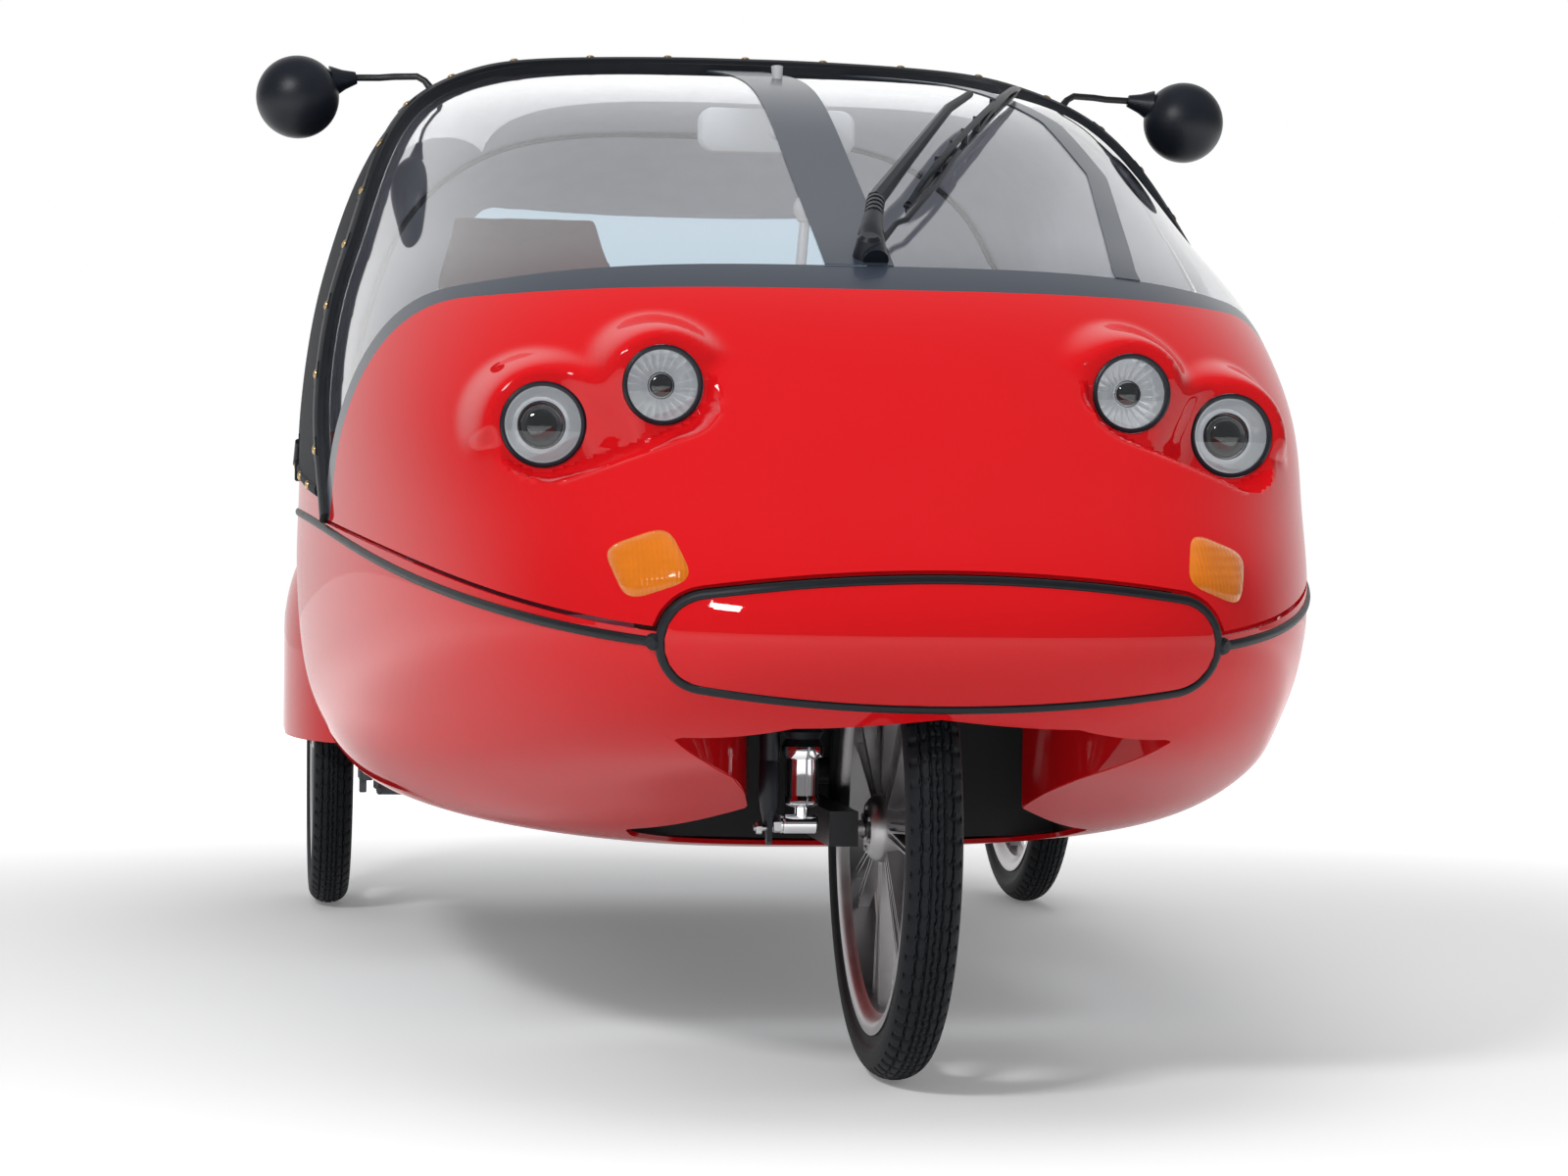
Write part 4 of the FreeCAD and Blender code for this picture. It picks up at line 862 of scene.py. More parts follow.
def well_shape():
    """Dark liner round the left rear wheel: its inner side and its arch."""
    low, high = WELL_X
    profile = [(0.02, low), (WELL_RADIUS * 0.5, low), (WELL_RADIUS, low), (WELL_RADIUS, (low + high) / 2),
               (WELL_RADIUS, high), (WELL_RADIUS - 0.003, high), (WELL_RADIUS - 0.003, low + 0.003),
               (0.02, low + 0.003)]
    y, z = WHEEL_PLACE
    turns = np.linspace(-math.pi / 2, math.pi / 2, 41)
    points = [(x, y + radius * math.sin(turn), z + radius * math.cos(turn)) for turn in turns for radius,
              x in profile]
    return points, bands(len(turns), len(profile))


# Soft top and headliner: share of faces kept, wall of the arch band, wall of the cloth, and how far the top
# and the liner stand out from the body
SHEET_DETAIL = 0.45
ARCH_WALL = 0.012
SHEET_WALL = 0.002
TOP_PROUD = 0.003
LINER_PROUD = -0.007


def build_body():
    """Hull, hood, arch and the rear shell."""
    ring = MOUTH_RING_WIDTH
    panel("hull_shell", [below(SEAM_Z, -PANEL_GAP), outside_mouth(ring), outside_opening, outside_well],
          PAINT, "root", ("hull",), "red_paint", rows=list(range(GRID.shape[0])))
    new_piece("fender_shells", *mirrored_shape(fender_shape()), PAINT, "root",
              ("fender_left", "fender_right"),
              "red_paint")
    new_piece("wheel_wells", *mirrored_shape(well_shape()), BLACK_PAINT, "root")
    holes = [outside_circle(x, z, PLATE_HOLE_RADIUS) for x, z in PLATE_HOLES]
    panel("mouth_plate", [inside_mouth(0.0)] + holes, PAINT, "root", ("mouth_panel",), "red_paint")
    panel("hood_shell", [above(SEAM_Z), below(SCREEN_LOW_Z), ahead_of_arch(), outside_mouth(ring + PANEL_GAP),
                         outside_lamps], PAINT, "canopy", ("hood",), "red_paint")
    panel("screen_foot_band", [above(SEAM_Z), above(SCREEN_LOW_Z), below(SCREEN_HIGH_Z), ahead_of_arch()],
          SLATE, "canopy", ("screen_band",), "band_slate")
    panel("bubble_screen", [above(SCREEN_HIGH_Z), ahead_of_arch(), above(SEAM_Z)], SCREEN, "canopy",
          ("windscreen",), "screen_clear", wall=SCREEN_WALL, sunk=True)
    panel("arch_band", [behind_arch(), ahead_of_arch(-ARCH_WIDTH), above(SEAM_Z)], RUBBER, "canopy",
          ("canopy_arch",), "rubber_black", wall=ARCH_WALL)
    behind = behind_arch(ARCH_WIDTH + PANEL_GAP)
    panel("rear_shell", [behind, above(SEAM_Z, -PANEL_GAP), below(BELT_Z)], PAINT, "root", ("rear_body",),
          "red_paint")
    cloth = panel("top_cloth", [behind, above(BELT_Z), window_field(1)], TOP_CLOTH, "root", ("soft_top",),
                  "fabric_top", wall=SHEET_WALL, proud=TOP_PROUD)
    panel("tail_window", [behind, window_field(-1)], WINDOW, "root", ("rear_window",), "window_clear",
          wall=0.003, proud=TOP_PROUD)
    liner = panel("headliner", [behind, above(BELT_Z), window_field(1)], HEADLINER, "root", wall=SHEET_WALL,
                  proud=LINER_PROUD)
    for sheet in (cloth, liner):
        fewer = sheet.modifiers.new("fewer", "DECIMATE")
        fewer.ratio = SHEET_DETAIL
        swap_mesh(sheet, evaluated(sheet))


# Beads and seals on the body

def along_body(field, keep):
    """Crossings of a field round the body, from the -X side over the nose, where keep says so."""
    half = GRID.shape[1] // 2
    columns = [k % GRID.shape[1] for k in range(-half, half)]
    path, normals = traced(field, columns)
    stay = keep(path)
    return path[stay], normals[stay]


def every_few(path, normals, gap):
    """The points of a path thinned to an even gap."""
    length = np.concatenate([[0], np.cumsum(np.linalg.norm(np.diff(path, axis=0), axis=1))])
    at = np.linspace(0, length[-1], max(int(length[-1] / gap), 2))
    pick = [np.interp(at, length, path[:, k]) for k in range(3)]
    lean = [np.interp(at, length, normals[:, k]) for k in range(3)]
    return np.array(pick).T, np.array(lean).T


def hoop(field, low, gap=0.02):
    """Path over the roof where a field crosses zero, down to a side line, and the normals there."""
    half = GRID.shape[1] // 2 + 1
    path, normals = [], []
    for row in range(len(BOTTOM_RINGS), GRID.shape[0]):
        line = field(GRID[row, :half])
        change = np.nonzero(np.sign(line[:-1]) != np.sign(line[1:]))[0]
        if len(change) == 0:
            continue
        cell = int(change[0])
        t = line[cell] / (line[cell] - line[cell + 1])
        path.append(GRID[row, cell] * (1 - t) + GRID[row, cell + 1] * t)
        normals.append(NORMALS[row, cell] * (1 - t) + NORMALS[row, cell + 1] * t)
    path, normals = np.array(path), np.array(normals)
    stay = path[:, 2] > low(path[:, 1])
    path, normals = path[stay], normals[stay]
    whole, leans = (np.concatenate([part * (-1, 1, 1), part[::-1]]) for part in (path, normals))
    return every_few(whole, leans, gap)


def leaning(middle_y, lean=0.0):
    """Field of a plane across the roof at one y, leaning with height."""
    return lambda p: p[:, 1] - middle_y - lean * (p[:, 2] - 1.0)


TAB_TOP_Z = 1.12
SNAP = ((0.0, 0.0032), (0.003, 0.0030), (0.0052, 0.0018), (0.0060, 0.0), (0.0060, -0.001))


def snap(place, normal, lift):
    """A snap's round head on the body."""
    return lathe(SNAP, Vector(place) + Vector(normal) * lift, normal, 14)


def build_beads():
    """Rubber beads: along the seam, round the mouth and on the arch, with the arch's snaps."""
    outside = outside_mouth(MOUTH_RING_WIDTH)
    path, normals = along_body(above(TRIM_Z), lambda p: outside(p) > 0)
    front = np.argmin(path[:, 1])
    start = front + 1 if path[front, 0] < 0 else front
    path, normals = np.roll(path, -start, axis=0), np.roll(normals, -start, axis=0)
    path, normals = every_few(path, normals, 0.012)
    points, faces = bead(path, normals, round_profile(0.0048, 0.0035))
    bolts = []
    for end in (0, -1):
        bolts.append(lathe([(0.0, 0.006), (0.006, 0.0055), (0.0085, 0.002), (0.0085, -0.002)],
                           path[end], normals[end], 16))
    new_piece("seam_bead", *joined([(points, faces)] + bolts), RUBBER, "root", ("seam_trim",), "rubber_black")

    ring = [on_body(x, z) for x, z in oval(MOUTH_RING_WIDTH / 2, 48)]
    ring_bead = bead(*zip(*ring), round_profile(0.0050, 0.0030, base=-0.004), closed=True)
    new_piece("mouth_bead", *ring_bead, RUBBER, "root", ("mouth_ring",), "rubber_black")

    path, normals = hoop(ahead_of_arch(-ARCH_WIDTH * 0.45), SEAM_Z, 0.015)
    profile = [(-0.015, -0.002), (-0.014, 0.005), (-0.008, 0.0082), (0.004, 0.0085), (0.012, 0.006),
               (0.014, -0.002)]
    new_piece("arch_seal", *bead(path, normals, profile), RUBBER, "canopy", slot="rubber_black")
    snaps, tabs = [], []
    for k in range(6, len(path) - 6, 7):
        normal = Vector(normals[k]).normalized()
        snaps.append(snap(path[k], normal, 0.0078))
        if path[k][2] < TAB_TOP_Z:
            along = (Vector(path[k + 1]) - Vector(path[k - 1])).normalized()
            turn = Matrix((normal.cross(along), along, normal)).transposed()
            tabs.append(box_shape((0.020, 0.026, 0.005), Vector(path[k]) + normal * 0.006, turn))
    new_piece("arch_snaps", *joined(snaps), BRASS, "canopy")
    new_piece("arch_tabs", *joined(tabs), RUBBER, "canopy", slot="rubber_black")


# Strips on the bubble
STRIP_CENTRE = (-0.050, 0.025)
SIDE_STRIP = ((0.851, 0.291), (0.988, 0.338), (1.070, 0.320), (1.150, 0.240), (1.195, 0.120))
SIDE_STRIP_HALF_WIDTH = 0.015


def build_strips():
    """Dark strips that stiffen the bubble: one in the middle, one near the +X side."""
    stays = [above(SCREEN_HIGH_Z), ahead_of_arch()]
    low, high = STRIP_CENTRE
    front = lambda p: 0.23 - p[:, 1]
    middle = [lambda p: p[:, 0] - low, lambda p: high - p[:, 0], front]
    zs, xs = np.array(SIDE_STRIP).T
    centre = lambda p: np.interp(p[:, 2], zs, xs)
    side = [lambda p: p[:, 0] - centre(p) + SIDE_STRIP_HALF_WIDTH,
            lambda p: centre(p) + SIDE_STRIP_HALF_WIDTH - p[:, 0], front,
            lambda p: 0.30 - p[:, 1] - 0.3 * (p[:, 0] < 0)]
    for name, fields in (("bubble_strip_middle", middle), ("bubble_strip_side", side)):
        panel(name, stays + fields, SLATE, "canopy", slot="band_slate", wall=0.0010, proud=0.0013, sunk=True)


# Lamps

def build_headlamps():
    """Each headlamp: rim, domed lens, and a reflector with its bulb or a projector lens."""
    for lamp in LAMPS:
        kind, radius = lamp["kind"], lamp["radius"]

        def turned(profile, count):
            """A profile turned round the lamp's axis, on both sides."""
            places = [(sign * lamp["x"], lamp["front"] + 0.004, lamp["z"]) for sign in (1, -1)]
            return joined([lathe(profile, place, (0, -1, 0), count) for place in places])

        rim = [(radius, -0.012), (radius + 0.0012, -0.002), (radius + 0.0010, 0.0016),
               (radius - 0.001, 0.0030),
               (radius - 0.0032, 0.0026), (radius - 0.0038, 0.0), (radius - 0.0040, -0.010)]
        new_piece(kind + "_lamp_rims", *turned(rim + [rim[0]], 64), PLASTIC, "canopy", slot="plastic_black")
        glass = radius - 0.0034
        dome = [(glass * t, 0.0046 - 0.0042 * t * t) for t in np.linspace(0.0, 1, 12)]
        back = [(glass * t, 0.0022 - 0.0042 * t * t) for t in np.linspace(1, 0.0, 12)]
        new_piece(kind + "_lamp_glass", *turned(dome + back, 64), LENS, "canopy", (kind + "_lamp_lenses",),
                  "lens_clear")
        wall = radius - 0.0042
        if kind == "inner":
            bowl = [(wall * t ** 0.62 + 0.002, -0.044 + 0.041 * t) for t in np.linspace(0.02, 1, 9)]
            shell = [(wall + 0.001, -0.003), (wall + 0.001, -0.046), (0.003, -0.046)]
            new_piece("inner_lamp_reflectors", *turned(bowl + shell + [bowl[0]], 22), SILVER_WITH_PAINTED_LIGHT, "canopy",
                      ("inner_lamp_bowls",), "chrome", sharp=8)
            cap = [(0.0, -0.010), (0.008, -0.0105), (0.0118, -0.013), (0.0122, -0.020), (0.0090, -0.024)]
            stem = [(0.0045, -0.024), (0.0045, -0.045), (0.0, -0.045)]
            new_piece("inner_lamp_bulbs", *turned(cap + stem, 24), DARK_LENS, "canopy")
            clip = [(wall * 0.36, -0.020), (wall * 0.39, -0.018), (wall * 0.42, -0.020),
                    (wall * 0.39, -0.022)]
            new_piece("inner_lamp_rings", *turned(clip + [clip[0]], 40), CHROME, "canopy")
        else:
            ball = wall * 0.60
            cone = [(wall, -0.003), (wall * 0.98, -0.006), (wall * 0.80, -0.018), (wall * 0.66, -0.022),
                    (wall * 0.62, -0.026), (wall * 0.62, -0.046), (wall + 0.001, -0.046),
                    (wall + 0.001, -0.003)]
            new_piece("outer_lamp_cones", *turned(cone + [cone[0]], 56), SILVER_WITH_PAINTED_LIGHT, "canopy",
                      ("outer_lamp_bowls",),
                      "chrome")
            eye = [(ball * math.sin(t), -0.026 + ball * 0.62 * math.cos(t)) for t in np.linspace(0.0, 1.57,
                                                                                                 14)]
            new_piece("outer_lamp_eyes", *turned(eye + [(0.0, -0.030)], 40), DARK_LENS, "canopy")
            band = [(ball * 1.01, -0.022), (ball * 1.07, -0.020), (ball * 1.07, -0.025),
                    (ball * 1.01, -0.026)]
            new_piece("outer_lamp_bands", *turned(band + [band[0]], 40), CHROME, "canopy")


INDICATOR_CENTRE = (0.281, 0.530)
INDICATOR_SIZE = (0.070, 0.058)
INDICATOR_TILT = math.radians(-20)
TAIL_LAMP_CENTRE = (0.330, 0.690)
TAIL_LAMP_SIZE = (0.076, 0.076)
PAD_RINGS = 10
PAD_POINTS = 56
PAD_BASE = -0.003


def pad_on_body(centre, size, tilt, power, height, tail=False):
    """A rounded pad that follows the body, as a dome over a superellipse."""
    points = []
    for ring in range(PAD_RINGS + 1):
        share = ring / PAD_RINGS
        for k in range(PAD_POINTS):
            turn = 2 * math.pi * k / PAD_POINTS
            c, s = math.cos(turn), math.sin(turn)
            u = math.copysign(abs(c) ** (2 / power), c) * size[0] / 2 * share
            v = math.copysign(abs(s) ** (2 / power), s) * size[1] / 2 * share
            x = centre[0] + u * math.cos(tilt) - v * math.sin(tilt)
            z = centre[1] + u * math.sin(tilt) + v * math.cos(tilt)
            place, normal = on_body(x, z, tail)
            lift = height * (1 - share ** 5) + PAD_BASE * share ** 12
            points.append(place + normal * lift)
    return points, bands(PAD_RINGS + 1, PAD_POINTS)


def mirrored_shape(shape):
    """A shape and its mirror image across the middle plane."""
    points, faces = shape
    other = [Vector((-p[0], p[1], p[2])) for p in points]
    return joined([(points, faces), (other, [face[::-1] for face in faces])])


def build_small_lamps():
    """Indicators on the hood, with their dark bases, and the tail lamps."""
    x, z = INDICATOR_CENTRE
    width, height = INDICATOR_SIZE
    lens = pad_on_body((x, z), (width, height), INDICATOR_TILT, 4.2, 0.0065)
    new_piece("indicator_lenses", *mirrored_shape(lens), AMBER, "canopy", ("indicators",), "amber")
    base = pad_on_body((x, z), (width + 0.005, height + 0.005), INDICATOR_TILT, 4.2, 0.0012)
    new_piece("indicator_bases", *mirrored_shape(base), RUBBER, "canopy")
    tail = pad_on_body(TAIL_LAMP_CENTRE, TAIL_LAMP_SIZE, 0.0, 2.0, 0.0028, tail=True)
    new_piece("tail_lamp_lenses", *mirrored_shape(tail), RED_LENS, "root", ("tail_lamps",), "red_lens")


# Nose opening

def lower_height(x, y):
    """Height of the body's underside at a place in plan, in front of the axle."""
    low, high = 0.201, MOUTH_CENTRE_Z
    for _ in range(24):
        middle = (low + high) / 2
        if on_body(x, middle)[0].y < y:
            high = middle
        else:
            low = middle
    return high


def build_opening_walls():
    """Upright red walls beside the front wheel's opening."""
    plan = np.array(OPENING_PLAN[WALL_FROM:WALL_TO + 1])
    knots = np.concatenate([[0], np.cumsum(np.linalg.norm(np.diff(plan, axis=0), axis=1))])
    line = natural_cubic(knots, plan, np.linspace(0, knots[-1], 24))
    points, faces = [], []
    for x, y in line:
        foot = lower_height(x, y) + 0.001
        for step, z in ((0.0, foot), (0.0, OPENING_TOP_Z), (0.004, OPENING_TOP_Z), (0.004, foot)):
            points.append((x + step, y, z))
    for k in range(len(line) - 1):
        for side in range(4):
            a, b = k * 4 + side, k * 4 + (side + 1) % 4
            faces.append([a, a + 4, b + 4, b])
    faces += [[0, 1, 2, 3], [len(points) - 1, len(points) - 2, len(points) - 3, len(points) - 4]]
    new_piece("opening_walls", *mirrored_shape((points, faces)), PAINT, "root", slot="red_paint")


# Wheels
TREAD_DEPTH = 0.0026
TREAD_PITCHES = 72
STEPS_PER_PITCH = 8
TYRE_HALF_WIDTH = 0.0285


def tread_depth(across, phase):
    """Depth of the grooves at a place across the tyre and a share of a pitch."""
    zigzag = 0.0016 * abs(2 * (phase % 1) - 1)
    depth = 0.0
    for line, half in ((0.0, 0.0008), (0.0062, 0.0011), (-0.0062, 0.0011), (0.0150, 0.0010),
                       (-0.0150, 0.0010)):
        if abs(across - line - zigzag + 0.0008) < half:
            depth = 1.0
    side = abs(across)
    shift = (phase + (0.5 if across > 0 else 0.0) + side * 14) % 1
    if side > 0.0160 and shift < 0.24:
        depth = 1.0
    if 0.0075 < side < 0.0150 and shift < 0.13:
        depth = 0.8
    if side < 0.0055 and (phase * 2) % 1 < 0.12:
        depth = 0.5
    return depth * TREAD_DEPTH


def tyre(centre, radius, bead_radius):
    """A tyre with a block tread and ribbed side walls."""
    middle = (radius + bead_radius) / 2 + 0.004
    rise = radius - middle
    turns = np.radians(np.concatenate([np.linspace(-128, -62, 10), np.linspace(-58, 58, 44),
                                       np.linspace(62, 128, 10)]))
    around = TREAD_PITCHES * STEPS_PER_PITCH
    points = []
    for step in range(around):
        angle = 2 * math.pi * step / around
        for turn in turns:
            across = TYRE_HALF_WIDTH * math.sin(turn)
            away = middle + rise * math.cos(turn) * (1 if math.cos(turn) > 0 else 0.95)
            if abs(math.degrees(turn)) < 60:
                away -= tread_depth(across, step / STEPS_PER_PITCH)
            elif abs(abs(math.degrees(turn)) - 84) < 5:
                across *= 0.985
            points.append((centre[0] + across, centre[1] + away * math.sin(angle),
                           centre[2] + away * math.cos(angle)))
        for side in (1, -1):
            points.append((centre[0] + side * 0.0205, centre[1] + bead_radius * math.sin(angle),
                           centre[2] + bead_radius * math.cos(angle)))
    return points, bands(around, len(turns) + 2, closed=True)


def rim(centre):
    """An alloy rim with its lips and drop centre."""
    half = [(0.2125, 0.0235), (0.2125, 0.0212), (0.2070, 0.0205), (0.2035, 0.0185), (0.2015, 0.0120),
            (0.1945, 0.0080)]
    inner = [(0.1905, 0.0070), (0.1900, 0.0125), (0.1955, 0.0165), (0.1985, 0.0200), (0.2045, 0.0232)]
    profile = half + [(r, -w) for r, w in reversed(half)] + [(r, -w) for r, w in reversed(inner)] + inner
    return lathe(profile + [profile[0]], centre, (1, 0, 0), 120)


def spoke(centre, angle, inner, outer, width, thick_in, thick_out):
    """A cast spoke with a groove between two ribs, tapered towards the rim."""
    out = Vector((0, math.sin(angle), math.cos(angle)))
    side = Vector((0, math.cos(angle), -math.sin(angle)))
    section = [(-1, -1), (-0.5, -1), (-0.42, -0.35), (0.42, -0.35), (0.5, -1), (1, -1),
               (1, 1), (0.5, 1), (0.42, 0.35), (-0.42, 0.35), (-0.5, 1), (-1, 1)]
    points = []
    stations = ((inner, 1.25), (inner + 0.02, 1.0), ((inner + outer) / 2, 0.85), (outer - 0.012, 0.95),
                (outer, 1.3))
    for radius, spread in stations:
        share = (radius - inner) / (outer - inner)
        thickness = thick_in + (thick_out - thick_in) * share
        for u, v in section:
            points.append(Vector(centre) + out * radius + side * u * width / 2 * spread
                          + Vector((1, 0, 0)) * v * thickness / 2)
    return points, bands(len(stations), len(section)) + caps(len(stations), len(section))


def hub(centre, outward):
    """Hub barrel with a drum face, bolts and an end cap."""
    barrel = [(0.0, 0.030), (0.012, 0.030), (0.015, 0.027), (0.026, 0.026), (0.030, 0.023), (0.034, 0.018),
              (0.036, 0.010), (0.034, 0.0), (0.036, -0.010), (0.050, -0.014), (0.054, -0.018),
              (0.054, -0.026),
              (0.046, -0.029), (0.014, -0.030), (0.0, -0.030)]
    shapes = [lathe(barrel, centre, outward, 56)]
    for k in range(6):
        turn = 2 * math.pi * k / 6
        place = Vector(centre) + Vector((0, math.sin(turn),
                                         math.cos(turn))) * 0.021 + Vector(outward) * 0.0255
        shapes.append(lathe([(0.0, 0.003), (0.0028, 0.003), (0.0032, 0.0), (0.0032, -0.002)], place,
                            outward, 10))
    return shapes


WHEELS = (
    ("front", "front_wheel", ("front_tyre", "front_wheel"), 7, (-1, 0, 0)),
    ("rear_left", "rear_left_wheel_body", ("rear_left_tyre", "rear_left_wheel"), 5, (1, 0, 0)),
    ("rear_right", "rear_right_wheel_body", ("rear_right_tyre", "rear_right_wheel"), 5, (-1, 0, 0)),
)


def build_wheels():
    """Tyres with tread, and cast wheels."""
    for name, body, nodes, spokes, outward in WHEELS:
        low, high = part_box(nodes[0])
        centre = (low + high) / 2
        radius = (high.z - low.z) / 2
        points, faces = tyre(centre, radius, 0.204)
        new_piece(name + "_tread_tyre", points, faces, TYRE, body, nodes[:1], "tyre_rubber", sharp=38)
        shapes = [rim(centre)]
        for k in range(spokes):
            angle = 2 * math.pi * k / spokes + 0.2
            for lean in (-0.085, 0.085) if name == "front" else (0.0,):
                shapes.append(spoke(centre, angle + lean, 0.030, 0.193, 0.010 if name == "front" else 0.030,
                                    0.020,
                                    0.012))
        shapes += hub(centre, outward)
        new_piece(name + "_cast_wheel", *joined(shapes), ALLOY, body, nodes[1:], "alloy", sharp=30)


# Wiper and mirrors: places on the body as (x, z), or (x, z, height over it)
WIPER_BASE = (0.000, 0.858)
WIPER_KNUCKLE = (0.022, 0.902)
WIPER_ARM = ((0.026, 0.911, 0.020), (0.082, 0.964, 0.026), (0.160, 1.042, 0.026), (0.200, 1.070, 0.024))
WIPER_BLADE = ((0.064, 0.917), (0.110, 0.957), (0.169, 1.009), (0.240, 1.070), (0.306, 1.118))
WIPER_ROD = ((0.015, 0.864, 0.010), (0.040, 0.887, 0.014), (0.054, 0.893, 0.014), (0.110, 0.943, 0.016),
             (0.150, 0.985, 0.020))
MIRROR_Y = 0.152
MIRROR_FOOT = (0.418, 0.133, 1.128)


def lifted(x, z, height):
    place, normal = on_body(x, z)
    return place + normal * height


def build_wiper():
    """Wiper: base, knuckle, channel arm, guide rod, bridge and blade."""
    x, z = WIPER_BASE
    place, normal = on_body(x, z)
    base = [(0.0, 0.026), (0.009, 0.026), (0.013, 0.022), (0.015, 0.010), (0.017, 0.0), (0.017, -0.004)]
    foot = lifted(0.006, 0.850, 0.004)
    shapes = [lathe(base, place, normal, 28),
              tube([foot, lifted(x + 0.006, z + 0.012, 0.016), lifted(*WIPER_KNUCKLE, 0.020)],
                   [0.014, 0.014, 0.009], 14)]
    for k in range(4):
        share = k / 3
        shapes.append(tube([lifted(0.016 + 0.008 * share, 0.890 + 0.016 * share, 0.020),
                            lifted(0.0175 + 0.008 * share, 0.893 + 0.016 * share, 0.020)], 0.0105, 14))
    arm = [lifted(px, pz, height) for px, pz, height in WIPER_ARM]
    shapes.append(tube(arm, [0.0105, 0.0080, 0.0060, 0.0048], 8))
    shapes.append(tube([lifted(px, pz, height) for px, pz, height in WIPER_ROD], 0.0034, 8))
    blade_xz = np.array(WIPER_BLADE)
    at = np.linspace(0, 1, 25)
    knots = np.linspace(0, 1, len(blade_xz))
    line = natural_cubic(knots, blade_xz, at)
    rubber = [lifted(px, pz, 0.006) for px, pz in line]
    strip = [(-0.0035, 0.004), (-0.0035, 0.0015), (-0.0012, 0.0), (-0.0006, -0.0055), (0.0006, -0.0055),
             (0.0012, 0.0), (0.0035, 0.0015), (0.0035, 0.004)]
    normals = [on_body(px, pz)[1] for px, pz in line]
    shapes.append(bead(rubber, normals, strip))
    for start, end, top in ((0.02, 0.98, 0.026), (0.04, 0.42, 0.019), (0.58, 0.96, 0.019)):
        spots = np.linspace(start, end, 9)
        bow = []
        for t in spots:
            px, pz = natural_cubic(knots, blade_xz, [t])[0]
            share = (t - start) / (end - start)
            bow.append(lifted(px, pz, 0.009 + (top - 0.009) * (1 - abs(2 * share - 1) ** 2.5)))
        shapes.append(tube(bow, 0.0042, 6))
    for t in (0.30, 0.42, 0.50, 0.58, 0.70):
        px, pz = natural_cubic(knots, blade_xz, [t])[0]
        shapes.append(tube([lifted(px, pz, 0.008), lifted(px - 0.002, pz + 0.002, 0.027)], 0.0042, 8))
    new_piece("wiper_set", *joined(shapes), PLASTIC, "canopy", ("wiper",), "plastic_black")


def build_mirrors():
    """Mirrors: round shells with a flat glass, a tapered neck and a bent rod."""
    low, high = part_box("mirror_heads")
    radius = (high.z - low.z) / 2
    centre_x, centre_z = high.x - radius, (low.z + high.z) / 2
    shell_shapes, rod_shapes, glass_shapes = [], [], []
    for sign in (1, -1):
        centre = Vector((sign * centre_x, MIRROR_Y, centre_z))
        front = [(radius * math.sin(t), radius * 0.92 * math.cos(t)) for t in np.linspace(0.0, 1.72, 22)]
        back = [(radius * 0.95, -0.016), (radius * 0.90, -0.0165), (radius * 0.88, -0.010), (0.0, -0.010)]
        shell_shapes.append(lathe(front + back, centre, (0, -1, 0), 64))
        glass_shapes.append(lathe([(0.0, -0.0105), (radius * 0.875, -0.0105), (radius * 0.875, -0.013),
                                   (0.0, -0.013)], centre, (0, -1, 0), 48))
        neck_from = centre + Vector((-sign * (radius - 0.010), 0.004, 0.022))
        neck_to = centre + Vector((-sign * (radius + 0.022), 0.006, 0.028))
        shell_shapes.append(tube([neck_from, (neck_from + neck_to) / 2, neck_to], [0.021, 0.013, 0.008], 16))
        foot = Vector((sign * MIRROR_FOOT[0], *MIRROR_FOOT[1:]))
        inner = Vector((sign * 0.440, 0.140, neck_to.z + 0.002))
        rod = [neck_to - Vector((-sign * 0.004, 0, 0)), neck_to + Vector((-sign * 0.03, 0, 0.001)),
               inner + Vector((sign * 0.03, 0.01, 0)), inner,
               inner + Vector((-sign * 0.010, -0.003, -0.006)), foot]
        rod_shapes.append(tube(rod, [0.0045] * 5 + [0.0060], 12))
        rod_shapes.append(lathe([(0.0, 0.006), (0.009, 0.006), (0.012, 0.002), (0.012, -0.003)], foot,
                                (sign * 0.6, -0.5, 0.6), 16))
    new_piece("mirror_shells", *joined(shell_shapes), PLASTIC, "canopy", ("mirror_heads",), "mirror_plastic")
    new_piece("mirror_glasses", *joined(glass_shapes), CHROME, "canopy", slot="chrome")
    new_piece("mirror_stems", *joined(rod_shapes), SATIN, "canopy", ("mirror_rods",), "steel_black")


# Seats
SEAT_VOXEL = 0.0095
CLOTH_FRAMES = 20
CLOTH_PRESSURE = 4.0
SEATS = (
    ("seat_cushion_left", "cushion_left_pad", (0, 0, 0), (0.97, 0.97, 0.80), 0.024, 2, "Y"),
    ("seat_cushion_right", "cushion_right_pad", (0, 0, 0), (0.97, 0.97, 0.80), 0.024, 2, "Y"),
    ("seat_back_left", "back_left_pad", (0, 0, 0), (0.97, 0.98, 0.92), 0.020, 2, "Y"),
    ("seat_back_right", "back_right_pad", (-0.040, 0.0, 0.030), (0.97, 0.90, 1.02), 0.024, 2, "Z"),
)


def evaluated(piece):
    """The piece's mesh with its modifiers applied."""
    return bpy.data.meshes.new_from_object(piece.evaluated_get(bpy.context.evaluated_depsgraph_get()))


def swap_mesh(piece, mesh):
    piece.modifiers.clear()
    piece.data = mesh


